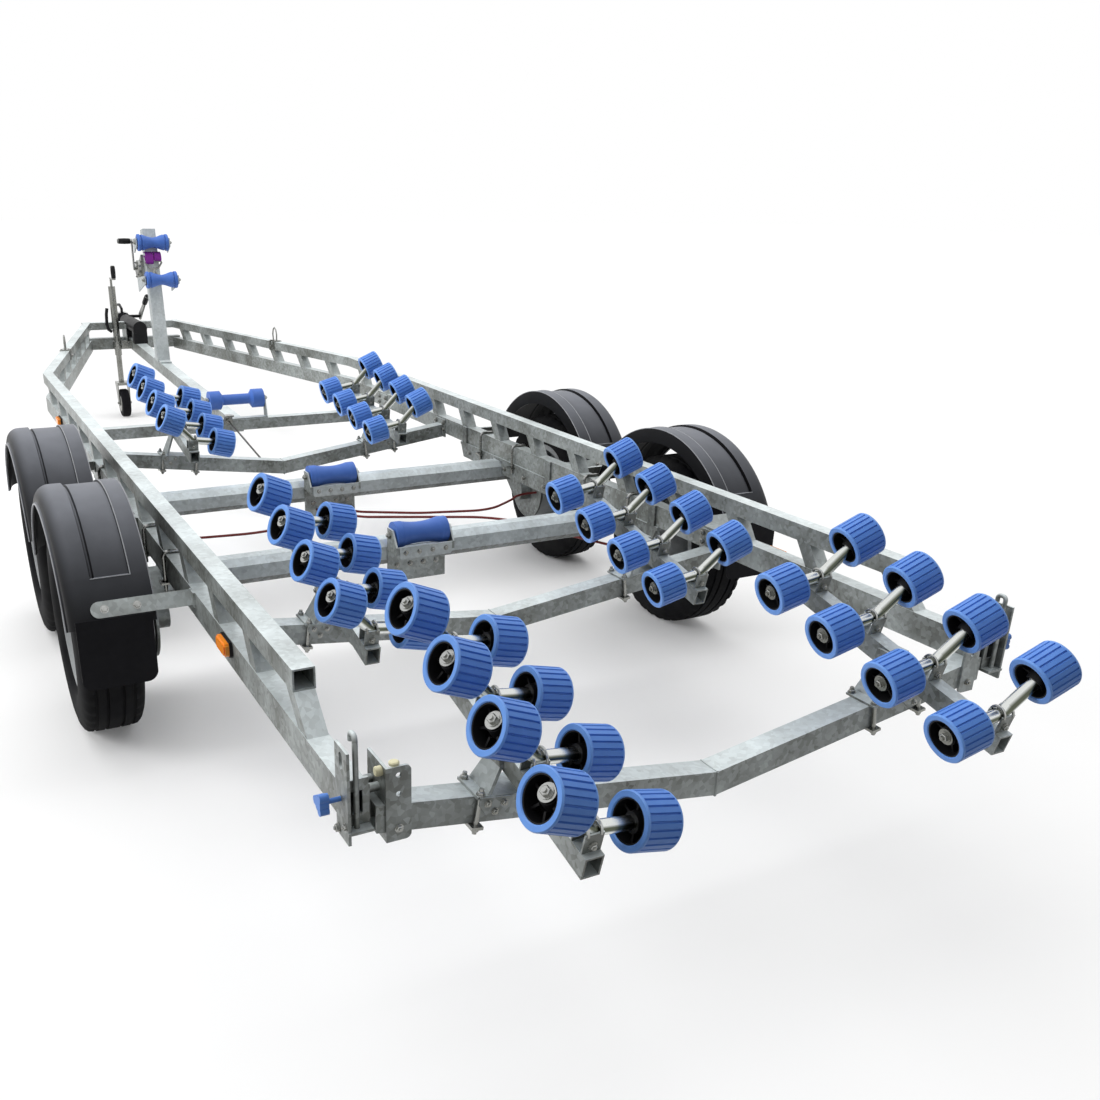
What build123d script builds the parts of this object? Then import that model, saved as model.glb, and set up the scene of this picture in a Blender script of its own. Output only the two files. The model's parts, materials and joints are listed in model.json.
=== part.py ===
"""Twin-axle multi-roller boat trailer, galvanised, standing on its jockey wheel.

Millimetres. +X points forward to the coupling, +Y to the left, +Z up. The origin is on the floor,
half way along and half way across. Heights of the frame are counted from the lower rails' underside.
"""
import os
from math import atan2, cos, degrees, radians, sin, tan

from build123d import *

# Fits and plates
WALL = 4.0
PLATE = 6.0
SEAT_GAP = 0.3
PIN_CLEARANCE = 0.5
RUN_CLEARANCE = 6.0
PIN_HEAD = 8.0

# Road wheels carry the frame, so its height follows the tyre
TYRE_RADIUS = 325.0
TYRE_WIDTH = 186.0
RIDE_HEIGHT = 138.0

# Side frames: an upper and a lower rail tied by leaning braces, drawn in to the drawbar at the front
RAIL_Y = 853.0
RAIL_WIDTH = 50.0
TOP_RAIL_HEIGHT = 50.0
FRAME_DEPTH = 197.0
LOW_RAIL_HEIGHT = 75.0
TOP_RAIL_REAR_X = -3315.0
LOW_RAIL_REAR_X = -3606.0
BEND_X = 850.0
RAIL_FRONT_X = 3150.0
RAIL_FRONT_Y = 320.0
BRACE_WIDTH = 55.0
BRACE_THICKNESS = 46.0
BRACE_LEAN = 50.0
END_BRACE_LEAN = 75.0
BRACE_PITCH = 330.0
END_OPENING = 1.0

# Cross-members: square tubes with a flange plate on each lower rail
CROSS_SIZE = 60.0
FLANGE_LENGTH = 110.0
FLANGE_LAND = 8.0
# name: (x, height of the tube's middle at the rails, height at the centre line)
V_CROSS_MEMBERS = {
    "fore": (-434.0, 12.0, -98.0),
    "mid": (-2550.0, -21.0, -121.0),
    "rear": (-3590.0, 3.0, -125.0),
}
FRONT_CROSS_X = 310.0
FRONT_CROSS_RISE = -36.0
FRONT_CROSS_HEIGHT = 55.0

# Folded corner brackets that tie the rear cross-member to the ends of the lower rails
CORNER_WIDTH = 52.0
CORNER_LAP = 72.0
CORNER_LOW = -50.0
CORNER_HIGH = 110.0
CORNER_ROUND = 12.0
CORNER_GAP = 24.0
SPACER_RADIUS = 9.0
SPACER_SPACING = 34.0
SPACER_RISE = 55.0
LAMP_HOLE_RADIUS = 5.5
LAMP_HOLE_SPACING = 40.0
LAMP_HOLE_RISE = 72.0

# Drawbar: a sloping spine on the centre line and crosspieces that close the two side frames
SPINE_SIZE = 70.0
SPINE_FRONT_RISE = 87.0
SPINE_REAR_RISE = -13.0
SPINE_NOSE = 140.0
CROSSPIECE_LENGTH = 60.0
CROSSPIECE_HEIGHT = 80.0
COUPLING_CHEEK_REAR = 3100.0
COUPLING_CHEEK_FRONT = 3270.0

# Axles, trailing arms and wheels
AXLE_FRONT_X = -1040.0
AXLE_SIZE = 90.0
AXLE_CHAMFER = 22.0
SEAT_THICKNESS = 12.0
SEAT_LEG = 68.0
SEAT_LEG_THICKNESS = 8.0
SEAT_AHEAD = 370.0
SEAT_BEHIND = 330.0
SEAT_STRAP_WIDTH = 40.0
ARM_TRAIL = 91.0
ARM_WIDTH = 50.0
HUB_BOSS_RADIUS = 44.0
BACK_PLATE = 8.0
BACK_PLATE_RADIUS = 128.0
WHEEL_Y = 1098.0
RIM_RADIUS = 180.0
RIM_WIDTH = 148.0
RIM_FLANGE = 14.0
RIM_FLANGE_WIDTH = 12.0
RIM_SKIN = 8.0
DISC_DISH = 20.0
DISC_SKIN = 10.0
DRUM_RADIUS = 122.0
HUB_RADIUS = 60.0
HUB_CAP = 30.0
SPINDLE_RADIUS = 20.0
SPINDLE_SHORT = 20.0
TYRE_BEAD = 20.0
TYRE_BULGE = 60.0
TYRE_SHOULDER = 35.0
TYRE_EDGE = 5.0
TREAD_EDGE = 40.0

# Mudguards, each on its own centre a little behind and below the wheel's
GUARD_GAP = 114.0
GUARD_BACK = 12.0
GUARD_DROP = 10.0
GUARD_INNER_Y = 980.0
GUARD_OUTER_Y = 1210.0
GUARD_SKIN = 6.0
GUARD_LIP = 48.0
GUARD_SHOULDER = 42.0
GUARD_END_ANGLE = 21.0
GUARD_SPACE = 55.0
STRIP_WIDTH = 45.0
STRIP_ANGLE = 27.0
STRIP_SHORT = 40.0
FLAP_LENGTH = 175.0
FLAP_LAP = 25.0
FLAP_INSET = 15.0
FLAP_ROUND = 30.0

# Roller beams: each rocks on a pivot bracket and carries four bogies of two rollers
BEAM_HEIGHT = 50.0
BEAM_WIDTH = 40.0
BEAM_END = 34.0
PIVOT_RADIUS = 8.0
PIVOT_EAR = 22.0
PIVOT_FOOT = 45.0
PIVOT_CHEEK = 8.0
PIVOT_BASE_WIDTH = 170.0
PIVOT_BASE_LAP = 15.0
PIVOT_FLARE = 54.0
PIVOT_BEND = 22.0
BOGIE_SPACING = 195.0
BOGIE_COUNT = 4
BOGIE_RISE = 64.0
BOGIE_TUBE_RADIUS = 15.0
BOGIE_BEND_RADIUS = 60.0
BOGIE_END = 33.0
STIRRUP = 4.0
STIRRUP_LAP = 4.0
LEG_LENGTH = 125.0
INNER_LEG_ANGLE = 9.5
OUTER_LEG_ANGLE = 47.7
# A wobble roller is loose on its leg and hangs at its own angle
INNER_ROLLER_ANGLE = 15.5
OUTER_ROLLER_ANGLE = 24.0
ROLLER_RADIUS = 57.0
ROLLER_WIDTH = 86.0
ROLLER_BORE = 43.0
ROLLER_WEB = 8.0
ROLLER_BOSS = 8.0
# name: (cross-member, distance from the centre line, pivot above the tube's top, tilt with the rear
# end down, front bogie ahead of the pivot)
ROLLER_BEAMS = {
    "front": ("fore", 477.0, 111.0, 8.7, 282.5),
    "mid": ("mid", 528.0, 94.0, 13.3, 282.5),
    "rear": ("rear", 532.0, 87.0, 13.5, 282.5),
}

# Keel rollers on the centre line
KEEL_PIN_RADIUS = 9.0
FRONT_ROLLER_AHEAD = 20.0
FRONT_ROLLER_RISE = 98.0
FRONT_ROLLER_LENGTH = 285.0
FRONT_ROLLER_RADIUS = 48.0
FRONT_ROLLER_WAIST = 27.0
FRONT_ROLLER_CUP = 58.0
FRONT_ROLLER_TAPER = 14.0
FRONT_EAR_FOOT = 25.0
FRONT_EAR_TOP = 16.0
AXLE_ROLLER_BEHIND = 72.0
AXLE_ROLLER_RISE = 27.0
AXLE_ROLLER_LENGTH = 195.0
AXLE_ROLLER_RADIUS = 45.0
AXLE_ROLLER_WAIST = 36.0
ROLLER_FLAT_SHARE = 0.14
CRADLE_DROP = 60.0
CRADLE_LIP = 26.0
CRADLE_TAIL = 50.0
CRADLE_EAR = 22.0

# Winch post with the bow rollers and the hand winch, placed by their distance below its top
POST_X = 2131.0
POST_SIZE = 80.0
POST_LENGTH = 785.0
POST_LEAN = 8.0
POST_FOOT_RISE = 36.0
POST_BASE_LENGTH = 220.0
POST_BASE = 10.0
# name: (distance below the post's top, distance behind its middle)
BOW_ROLLERS = {"upper": (91.0, 106.0), "lower": (328.0, 252.0)}
BOW_ROLLER_LENGTH = 190.0
BOW_ROLLER_RADIUS = 50.0
BOW_ROLLER_WAIST = 30.0
BOW_PIN_RADIUS = 8.0
BOW_EAR_LOW = 55.0
BOW_EAR_HIGH = 30.0
BOW_EAR_TIP = 24.0
BOW_BRIDGE = 30.0
WINCH_BELOW = 225.0
WINCH_AHEAD = 120.0
WINCH_CHEEK = 5.0
WINCH_EAR = 40.0
WINCH_FOOT = 150.0
DRUM_LENGTH = 90.0
DRUM_CORE = 22.0
DRUM_FLANGE = 62.0
DRUM_FLANGE_THICKNESS = 4.0
SHAFT_RADIUS = 9.0
CRANK_Y = 96.0
CRANK_LENGTH = 165.0
CRANK_WIDTH = 15.0
CRANK_THICKNESS = 8.0
GRIP_LENGTH = 85.0
STRAP_MARGIN = 14.0

# Overrun coupling
COUPLING_RISE = 95.0
HOUSING_REAR_X = 2830.0
HOUSING_FRONT_X = 3360.0
HOUSING_RADIUS = 48.0
HOUSING_FOOT = 60.0
# distances of the housing's feet from its rear end
HOUSING_FEET = (40.0, 380.0)
GAITER_FRONT_X = 3490.0
GAITER_RADIUS = 52.0
GAITER_FOLD = 14.0
BELLOWS = 6
HEAD_BALL_X = 3610.0
HEAD_NOSE = 75.0
HEAD_HALF_WIDTH = 38.0
HEAD_HEIGHT = 105.0
HEAD_DROP = 60.0
HEAD_CHIN = 30.0
HEAD_BROW = 45.0
HEAD_ROUND = 30.0
BALL_RADIUS = 25.0
BALL_CLEARANCE = 0.5
BALL_DEPTH = 45.0

# Handbrake lever on the right of the coupling
LEVER_PIVOT_X = 3240.0
LEVER_PIVOT_RISE = 45.0
LEVER_Y = -77.0
LEVER_LENGTH = 350.0
LEVER_RAISE = 26.5
LEVER_ROOT = 26.0
LEVER_TIP = 11.0
LEVER_THICKNESS = 10.0
LEVER_PIN = 11.0
LEVER_GRIP_RADIUS = 15.0
LEVER_GRIP_LENGTH = 130.0
LEVER_GRIP_LAP = 100.0

# Jockey wheel beside the spine
JOCKEY_X = 3050.0
JOCKEY_Y = 132.0
JOCKEY_TUBE_RADIUS = 24.0
JOCKEY_STEM_RADIUS = 19.0
JOCKEY_TUBE_LENGTH = 480.0
JOCKEY_TUBE_DROP = 110.0
JOCKEY_STEM_IN = 240.0
JOCKEY_CLAMP = 9.0
JOCKEY_CLAMP_WIDTH = 44.0
JOCKEY_CLAMP_HEIGHT = 56.0
JOCKEY_CAP = 14.0
JOCKEY_SCREW_RADIUS = 8.0
JOCKEY_SCREW_LENGTH = 60.0
JOCKEY_ARM_LENGTH = 130.0
JOCKEY_ARM_WIDTH = 22.0
JOCKEY_ARM_THICKNESS = 8.0
JOCKEY_GRIP_RADIUS = 13.0
JOCKEY_GRIP_LENGTH = 95.0
JOCKEY_WHEEL_RADIUS = 100.0
JOCKEY_WHEEL_WIDTH = 60.0
JOCKEY_WHEEL_ROUND = 14.0
JOCKEY_TRAIL = 45.0
JOCKEY_FORK_GAP = 30.0
JOCKEY_CROWN = 20.0
JOCKEY_FORK_TOP = 30.0
JOCKEY_FORK_TIP = 18.0
JOCKEY_PIN_RADIUS = 8.0

# Lamp board holders at the rear corners
HOLDER_LAP = 31.0
HOLDER_REACH = 34.0
HOLDER_HIGH = 165.0
HOLDER_LOW = -28.0
HOLDER_SLOT_LENGTH = 34.0
HOLDER_SLOT_WIDTH = 16.0
HOLDER_SLOT_DROP = 27.0
HOLDER_CLAMP_GAP = 4.0
HOLDER_CLAMP_HEIGHT = 97.0
HOLDER_ROD_RADIUS = 5.5
HOLDER_ROD_HEIGHT = 191.0
HOLDER_ROD_INSET = 16.0
HOLDER_HOOK = 22.0
HOLDER_HOOK_DROP = 18.0
HOLDER_HOOK_BEND = 9.0
KNOB_LOBE = 9.0
KNOB_SPREAD = 15.0
KNOB_DEPTH = 18.0
KNOB_STEM = 27.0
KNOB_STEM_RADIUS = 5.0
KNOB_RISE = 55.0
KNOB_AHEAD = 6.0

# Side markers on the lower rails
MARKER_PLACES = (-2791.0, 269.0)
MARKER_LENGTH = 90.0
MARKER_HEIGHT = 40.0
MARKER_DEPTH = 22.0
MARKER_RISE = 52.0

# Brake cables from the plate behind the front axle to the four back plates
CABLE_RADIUS = 5.0
CABLE_BEND_MAX = 400.0
CABLE_LEAD = 90.0
CABLE_STRAIGHT = 30.0
CABLE_BEND_SHARE = 0.45
CABLE_RISE = 5.0
CABLE_END = 88.0
# name: (axle, side, start, end ahead or behind the hub, bends as distance behind the axle and across)
BRAKE_CABLES = {
    "fore_left": (0, 1, 60.0, -1, ((284.0, 333.0), (249.0, 606.0))),
    "aft_left": (1, 1, 20.0, 1, ((511.0, 353.0), (780.0, 597.0))),
    "fore_right": (0, -1, 60.0, -1, ((274.0, 313.0), (351.0, 602.0), (246.0, 762.0))),
    "aft_right": (1, -1, 20.0, -1, ((229.0, 63.0), (461.0, 591.0), (757.0, 700.0))),
}

wheel_z = TYRE_RADIUS
low_rail_bottom = TYRE_RADIUS + RIDE_HEIGHT
low_rail_top = low_rail_bottom + LOW_RAIL_HEIGHT
top_rail_top = low_rail_bottom + FRAME_DEPTH
top_rail_bottom = top_rail_top - TOP_RAIL_HEIGHT
rail_inner = RAIL_Y - RAIL_WIDTH / 2
rail_outer = RAIL_Y + RAIL_WIDTH / 2
flange_face = rail_inner - PLATE
draw_angle = atan2(RAIL_FRONT_Y - RAIL_Y, RAIL_FRONT_X - BEND_X)
pieces = {}


def mirrored(part):
    """The same piece on the right-hand side."""
    return mirror(part, about=Plane.XZ)


def both_sides(part):
    """A left piece and its mirror image, as one node of two solids."""
    return Compound(list(part.solids()) + list(mirrored(part).solids()))


def gathered(parts):
    """Several pieces of one body as one node."""
    return Compound([solid for part in parts for solid in part.solids()])


def side_plane(y):
    """A plane facing right at a distance across the trailer: its axes are X and Z."""
    return Plane(origin=(0, y, 0), x_dir=(1, 0, 0), z_dir=(0, -1, 0))


def polygon_plate(plane, corners, thickness):
    """A flat plate from its outline."""
    with BuildPart() as plate:
        with BuildSketch(plane):
            with BuildLine():
                Polyline(*corners, close=True)
            make_face()
        extrude(amount=thickness)
    return plate.part


def cross_pin(x, z, reach, radius):
    """A round pin across the centre line."""
    with BuildPart() as pin:
        with BuildSketch(side_plane(reach)):
            with Locations((x, z)):
                Circle(radius)
        extrude(amount=2 * reach)
    return pin.part


# Side frames
def plan_corner(across):
    """A point beside the rail's middle line at the bend, on the mitre."""
    return (BEND_X - across * tan(draw_angle / 2), RAIL_Y + across)


def rail(corners, inner_corners, bottom, height):
    """A rectangular tube from its outline in plan and the outline of its hollow."""
    with BuildPart() as tube:
        add(polygon_plate(Plane.XY.offset(bottom), corners, height))
        hollow = polygon_plate(Plane.XY.offset(bottom + WALL), inner_corners, height - 2 * WALL)
        add(hollow, mode=Mode.SUBTRACT)
    return tube.part


def straight_outline(rear_x, half):
    """Plan of the straight rail: square at the rear, mitred at the bend."""
    return [(rear_x, RAIL_Y - half), plan_corner(-half), plan_corner(half), (rear_x, RAIL_Y + half)]


def front_outline(half):
    """Plan of the rail drawn in to the drawbar: mitred at the bend, square across at the front."""
    side = half / cos(draw_angle)
    return [
        plan_corner(-half),
        (RAIL_FRONT_X, RAIL_FRONT_Y - side),
        (RAIL_FRONT_X, RAIL_FRONT_Y + side),
        plan_corner(half),
    ]


def brace(plane, top_start, lean):
    """A leaning brace between the lower rail's top and the upper rail's underside."""
    corners = [
        (top_start - lean, low_rail_top),
        (top_start - lean + BRACE_WIDTH, low_rail_top),
        (top_start + BRACE_WIDTH, top_rail_bottom),
        (top_start, top_rail_bottom),
    ]
    return polygon_plate(plane.offset(-BRACE_THICKNESS / 2), corners, BRACE_THICKNESS)


half_rail = RAIL_WIDTH / 2
inner_half = half_rail - WALL
brace_plane = side_plane(RAIL_Y)
brace_count = int((BEND_X - TOP_RAIL_REAR_X) // BRACE_PITCH)
with BuildPart() as side_rail:
    for rear_x, bottom, height in (
        (TOP_RAIL_REAR_X, top_rail_bottom, TOP_RAIL_HEIGHT),
        (LOW_RAIL_REAR_X, low_rail_bottom, LOW_RAIL_HEIGHT),
    ):
        hollow = straight_outline(rear_x - END_OPENING, inner_half)
        add(rail(straight_outline(rear_x, half_rail), hollow, bottom, height))
    add(brace(brace_plane, TOP_RAIL_REAR_X, END_BRACE_LEAN))
    for number in range(1, brace_count + 1):
        add(brace(brace_plane, TOP_RAIL_REAR_X + BRACE_PITCH * number, BRACE_LEAN))
pieces["side_rails"] = both_sides(side_rail.part)

draw_direction = (cos(draw_angle), sin(draw_angle), 0)
draw_normal = (sin(draw_angle), -cos(draw_angle), 0)
draw_plane = Plane(origin=(BEND_X, RAIL_Y, 0), x_dir=draw_direction, z_dir=draw_normal)
draw_length = (RAIL_FRONT_X - BEND_X) / cos(draw_angle)
draw_count = int(draw_length // BRACE_PITCH)
with BuildPart() as front_rail:
    for bottom, height in ((top_rail_bottom, TOP_RAIL_HEIGHT), (low_rail_bottom, LOW_RAIL_HEIGHT)):
        add(rail(front_outline(half_rail), front_outline(inner_half), bottom, height))
    for number in range(draw_count):
        add(brace(draw_plane, BRACE_PITCH * (number + 0.5) + BRACE_LEAN, BRACE_LEAN))
pieces["front_rails"] = both_sides(front_rail.part)


# Cross-members
def member_heights(name):
    """Heights of a cross-member's middle at the rails and at the centre line."""
    _, end_rise, mid_rise = V_CROSS_MEMBERS[name]
    return low_rail_bottom + end_rise, low_rail_bottom + mid_rise


def v_band(end_z, mid_z, half):
    """Outline, seen along the trailer, of a tube that dips to the centre line."""
    lower = [(-flange_face, end_z - half), (0, mid_z - half), (flange_face, end_z - half)]
    upper = [(flange_face, end_z + half), (0, mid_z + half), (-flange_face, end_z + half)]
    return lower + upper


def flange(x, low, high, rear, front):
    """The plate that bolts one end of a cross-member to the inside of the left lower rail."""
    corners = [(x - rear, low), (x + front, low), (x + front, high), (x - rear, high)]
    return polygon_plate(side_plane(rail_inner), corners, PLATE)


def v_cross_member(name):
    """A square tube bent at the middle, from one lower rail to the other."""
    x = V_CROSS_MEMBERS[name][0]
    end_z, mid_z = member_heights(name)
    half = CROSS_SIZE / 2
    with BuildPart() as member:
        band = v_band(end_z, mid_z, half)
        hollow = v_band(end_z, mid_z, half - WALL)
        add(polygon_plate(Plane.YZ.offset(x - half), band, CROSS_SIZE))
        inside = Plane.YZ.offset(x - half + WALL)
        add(polygon_plate(inside, hollow, CROSS_SIZE - 2 * WALL), mode=Mode.SUBTRACT)
        if name == "rear":
            bracket = corner_bracket(x - half - PLATE)
            add(bracket)
            add(mirrored(bracket))
        else:
            side = flange(x, end_z - half, low_rail_top - FLANGE_LAND, FLANGE_LENGTH / 2, FLANGE_LENGTH / 2)
            add(side)
            add(mirrored(side))
    return member.part


def corner_bracket(rear_x):
    """A folded bracket: a rear face for the lamp board, and a side that two spacers hold off the rail."""
    low = low_rail_bottom + CORNER_LOW
    high = low_rail_bottom + CORNER_HIGH
    front_x = LOW_RAIL_REAR_X + CORNER_LAP
    side_y = rail_inner - CORNER_GAP
    middle = side_y - CORNER_WIDTH / 2
    side = [(rear_x, low), (front_x, low), (front_x, high), (rear_x, high)]
    with BuildPart() as bracket:
        add(polygon_plate(side_plane(side_y), side, PLATE))
        with BuildSketch(Plane.YZ.offset(rear_x)):
            with Locations((middle, (low + high) / 2)):
                Rectangle(CORNER_WIDTH, high - low)
            fillet(vertices().group_by(Axis.X)[0], CORNER_ROUND)
            with Locations((middle, low_rail_bottom + LAMP_HOLE_RISE)):
                with GridLocations(0, LAMP_HOLE_SPACING, 1, 2):
                    Circle(LAMP_HOLE_RADIUS, mode=Mode.SUBTRACT)
        extrude(amount=PLATE)
        with BuildSketch(side_plane(rail_inner)):
            with Locations((LOW_RAIL_REAR_X + CORNER_LAP / 2, low_rail_bottom + SPACER_RISE)):
                with GridLocations(SPACER_SPACING, 0, 2, 1):
                    Circle(SPACER_RADIUS)
        extrude(amount=CORNER_GAP)
    return bracket.part


front_cross_z = low_rail_bottom + FRONT_CROSS_RISE
front_cross_top = front_cross_z + FRONT_CROSS_HEIGHT / 2
with BuildPart() as front_cross:
    with BuildSketch(Plane.YZ.offset(FRONT_CROSS_X - CROSS_SIZE / 2)):
        with Locations((0, front_cross_z)):
            Rectangle(2 * flange_face, FRONT_CROSS_HEIGHT)
    extrude(amount=CROSS_SIZE)
    front_low = front_cross_z - FRONT_CROSS_HEIGHT / 2
    front_high = low_rail_top - FLANGE_LAND
    front_flange = flange(FRONT_CROSS_X, front_low, front_high, FLANGE_LENGTH / 2, FLANGE_LENGTH / 2)
    add(front_flange)
    add(mirrored(front_flange))
pieces["cross_members"] = gathered([front_cross.part] + [v_cross_member(name) for name in V_CROSS_MEMBERS])

# Drawbar
spine_rear_x = FRONT_CROSS_X + CROSS_SIZE / 2
spine_front_top = low_rail_bottom + SPINE_FRONT_RISE
spine_rear_top = low_rail_bottom + SPINE_REAR_RISE
spine_slope = (spine_front_top - spine_rear_top) / (RAIL_FRONT_X - spine_rear_x)
crosspiece_half = RAIL_FRONT_Y + half_rail / cos(draw_angle)
cheek_inner = HOUSING_RADIUS + SEAT_GAP
coupling_z = spine_front_top + COUPLING_RISE


def spine_top(x):
    """Height of the spine's upper face, which levels out at the crosspiece."""
    return min(spine_rear_top + (x - spine_rear_x) * spine_slope, spine_front_top)


with BuildPart() as drawbar:
    nose_x = RAIL_FRONT_X + SPINE_NOSE
    cheek_x = (COUPLING_CHEEK_REAR + COUPLING_CHEEK_FRONT) / 2
    spine_side = [
        (spine_rear_x, spine_rear_top - SPINE_SIZE),
        (RAIL_FRONT_X, spine_front_top - SPINE_SIZE),
        (nose_x, spine_front_top - SPINE_SIZE),
        (nose_x, spine_front_top),
        (RAIL_FRONT_X, spine_front_top),
        (spine_rear_x, spine_rear_top),
    ]
    add(polygon_plate(side_plane(SPINE_SIZE / 2), spine_side, SPINE_SIZE))
    with BuildSketch(Plane.XY.offset(spine_front_top)):
        with Locations((RAIL_FRONT_X + CROSSPIECE_LENGTH / 2, 0)):
            Rectangle(CROSSPIECE_LENGTH, 2 * crosspiece_half)
    extrude(amount=-CROSSPIECE_HEIGHT)
    for side in (1, -1):
        middle = side * (cheek_inner + crosspiece_half) / 2
        with BuildSketch(Plane.XY.offset(top_rail_bottom)):
            with Locations((RAIL_FRONT_X + CROSSPIECE_LENGTH / 2, middle)):
                Rectangle(CROSSPIECE_LENGTH, crosspiece_half - cheek_inner)
        extrude(amount=TOP_RAIL_HEIGHT)
        with BuildSketch(Plane.XY.offset(spine_front_top - CROSSPIECE_HEIGHT / 2)):
            with Locations((cheek_x, side * (cheek_inner + PLATE / 2))):
                Rectangle(COUPLING_CHEEK_FRONT - COUPLING_CHEEK_REAR, PLATE)
        extrude(amount=coupling_z - spine_front_top + CROSSPIECE_HEIGHT / 2)
pieces["drawbar"] = drawbar.part

# Axles
guard_radius = TYRE_RADIUS + GUARD_GAP
guard_outer = guard_radius + GUARD_SKIN
axle_spacing = 2 * guard_outer * cos(radians(GUARD_END_ANGLE)) + GUARD_SPACE
axle_places = [AXLE_FRONT_X, AXLE_FRONT_X - axle_spacing]
wheel_places = [x - ARM_TRAIL for x in axle_places]
axle_top = low_rail_bottom - SEAT_THICKNESS
axle_z = axle_top - AXLE_SIZE / 2


def axle_beam(x):
    """A square torsion tube with broken corners, across the whole frame."""
    with BuildPart() as beam:
        with BuildSketch(side_plane(rail_outer)):
            with Locations((x, axle_z)):
                Rectangle(AXLE_SIZE, AXLE_SIZE)
            chamfer(vertices(), AXLE_CHAMFER)
        extrude(amount=2 * rail_outer)
    return beam.part


pieces["axle_beams"] = gathered([axle_beam(x) for x in axle_places])

# Axle seats: a long angle under each lower rail, notched over the axles, with straps up the rail's inside
seat_front = axle_places[0] + SEAT_AHEAD
seat_rear = axle_places[1] - SEAT_BEHIND
seat_leg_y = rail_inner - SEAT_LEG_THICKNESS
seat_middle = (axle_places[0] + axle_places[1]) / 2
seat_straps = [seat_front - SEAT_STRAP_WIDTH, seat_middle, seat_rear + SEAT_STRAP_WIDTH]
with BuildPart() as axle_seat:
    with BuildSketch(Plane.XY.offset(axle_top)):
        with Locations(((seat_front + seat_rear) / 2, (seat_leg_y + rail_outer) / 2)):
            Rectangle(seat_front - seat_rear, rail_outer - seat_leg_y)
    extrude(amount=SEAT_THICKNESS)
    seat_low = low_rail_bottom - SEAT_LEG
    seat_leg = [
        (seat_rear, low_rail_bottom),
        (seat_rear + SEAT_LEG / 2, seat_low),
        (seat_front - SEAT_LEG / 2, seat_low),
        (seat_front, low_rail_bottom),
    ]
    add(polygon_plate(side_plane(rail_inner), seat_leg, SEAT_LEG_THICKNESS))
    for x in axle_places:
        with BuildSketch(Plane.XY.offset(axle_top)):
            with Locations((x, RAIL_Y)):
                Rectangle(AXLE_SIZE + 2 * SEAT_GAP, 2 * RAIL_WIDTH)
        extrude(amount=-SEAT_LEG, mode=Mode.SUBTRACT)
    for x in seat_straps:
        with BuildSketch(Plane.XY.offset(axle_top)):
            with Locations((x, rail_inner - SEAT_LEG_THICKNESS / 2)):
                Rectangle(SEAT_STRAP_WIDTH, SEAT_LEG_THICKNESS)
        extrude(amount=low_rail_top - axle_top)
pieces["axle_seats"] = both_sides(axle_seat.part)

# Trailing arms with brake back plates and stub axles
arm_outer_y = rail_outer + ARM_WIDTH
drum_inner_y = arm_outer_y + BACK_PLATE + RUN_CLEARANCE
stub_end_y = WHEEL_Y - SPINDLE_SHORT


def trailing_arm(x):
    """The left arm of one axle, down and back to the wheel's centre."""
    hub = (x - ARM_TRAIL, wheel_z)
    with BuildPart() as arm:
        with BuildSketch(side_plane(rail_outer)):
            with Locations((x, axle_z)):
                Circle(AXLE_SIZE / 2)
            with Locations(hub):
                Circle(HUB_BOSS_RADIUS)
            make_hull()
        extrude(amount=-ARM_WIDTH)
        for radius, length in ((BACK_PLATE_RADIUS, BACK_PLATE), (SPINDLE_RADIUS, stub_end_y - arm_outer_y)):
            with BuildSketch(side_plane(arm_outer_y)):
                with Locations(hub):
                    Circle(radius)
            extrude(amount=-length)
    return arm.part


pieces["suspension_arms"] = gathered([both_sides(trailing_arm(x)) for x in axle_places])


# Wheels
def cross_axis(x, z):
    """A line across the trailer, about which pieces are turned."""
    return Axis((x, 0, z), (0, 1, 0))


def turned(x, z, outline):
    """A piece turned about a line across the trailer: points are (distance across, radius)."""
    plane = Plane(origin=(x, 0, z), x_dir=(0, 1, 0), z_dir=(1, 0, 0))
    with BuildPart() as piece:
        with BuildSketch(plane):
            with BuildLine():
                Polyline(*outline, close=True)
            make_face()
        revolve(axis=cross_axis(x, z))
    return piece.part


def wheel_rim(x):
    """Pressed steel disc and rim with the brake drum and hub behind it."""
    bore = SPINDLE_RADIUS + PIN_CLEARANCE
    rim_in = WHEEL_Y - RIM_WIDTH / 2
    rim_out = WHEEL_Y + RIM_WIDTH / 2
    cap_y = stub_end_y + RUN_CLEARANCE
    seat = RIM_RADIUS - SEAT_GAP
    disc_y = WHEEL_Y + DISC_DISH
    outline = [
        (drum_inner_y, bore),
        (drum_inner_y, DRUM_RADIUS),
        (WHEEL_Y - DISC_SKIN, DRUM_RADIUS),
        (disc_y, RIM_RADIUS - RIM_SKIN - DISC_SKIN),
        (rim_in, RIM_RADIUS - RIM_SKIN),
        (rim_in, RIM_RADIUS + RIM_FLANGE),
        (rim_in + RIM_FLANGE_WIDTH, seat),
        (rim_out - RIM_FLANGE_WIDTH, seat),
        (rim_out, RIM_RADIUS + RIM_FLANGE),
        (rim_out, RIM_RADIUS - RIM_SKIN),
        (disc_y + DISC_SKIN, RIM_RADIUS - RIM_SKIN - RIM_FLANGE),
        (disc_y, HUB_RADIUS + DISC_SKIN),
        (cap_y + HUB_CAP, HUB_RADIUS),
        (cap_y + HUB_CAP, 0),
        (cap_y, 0),
        (cap_y, bore),
    ]
    return turned(x, wheel_z, outline)


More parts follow.
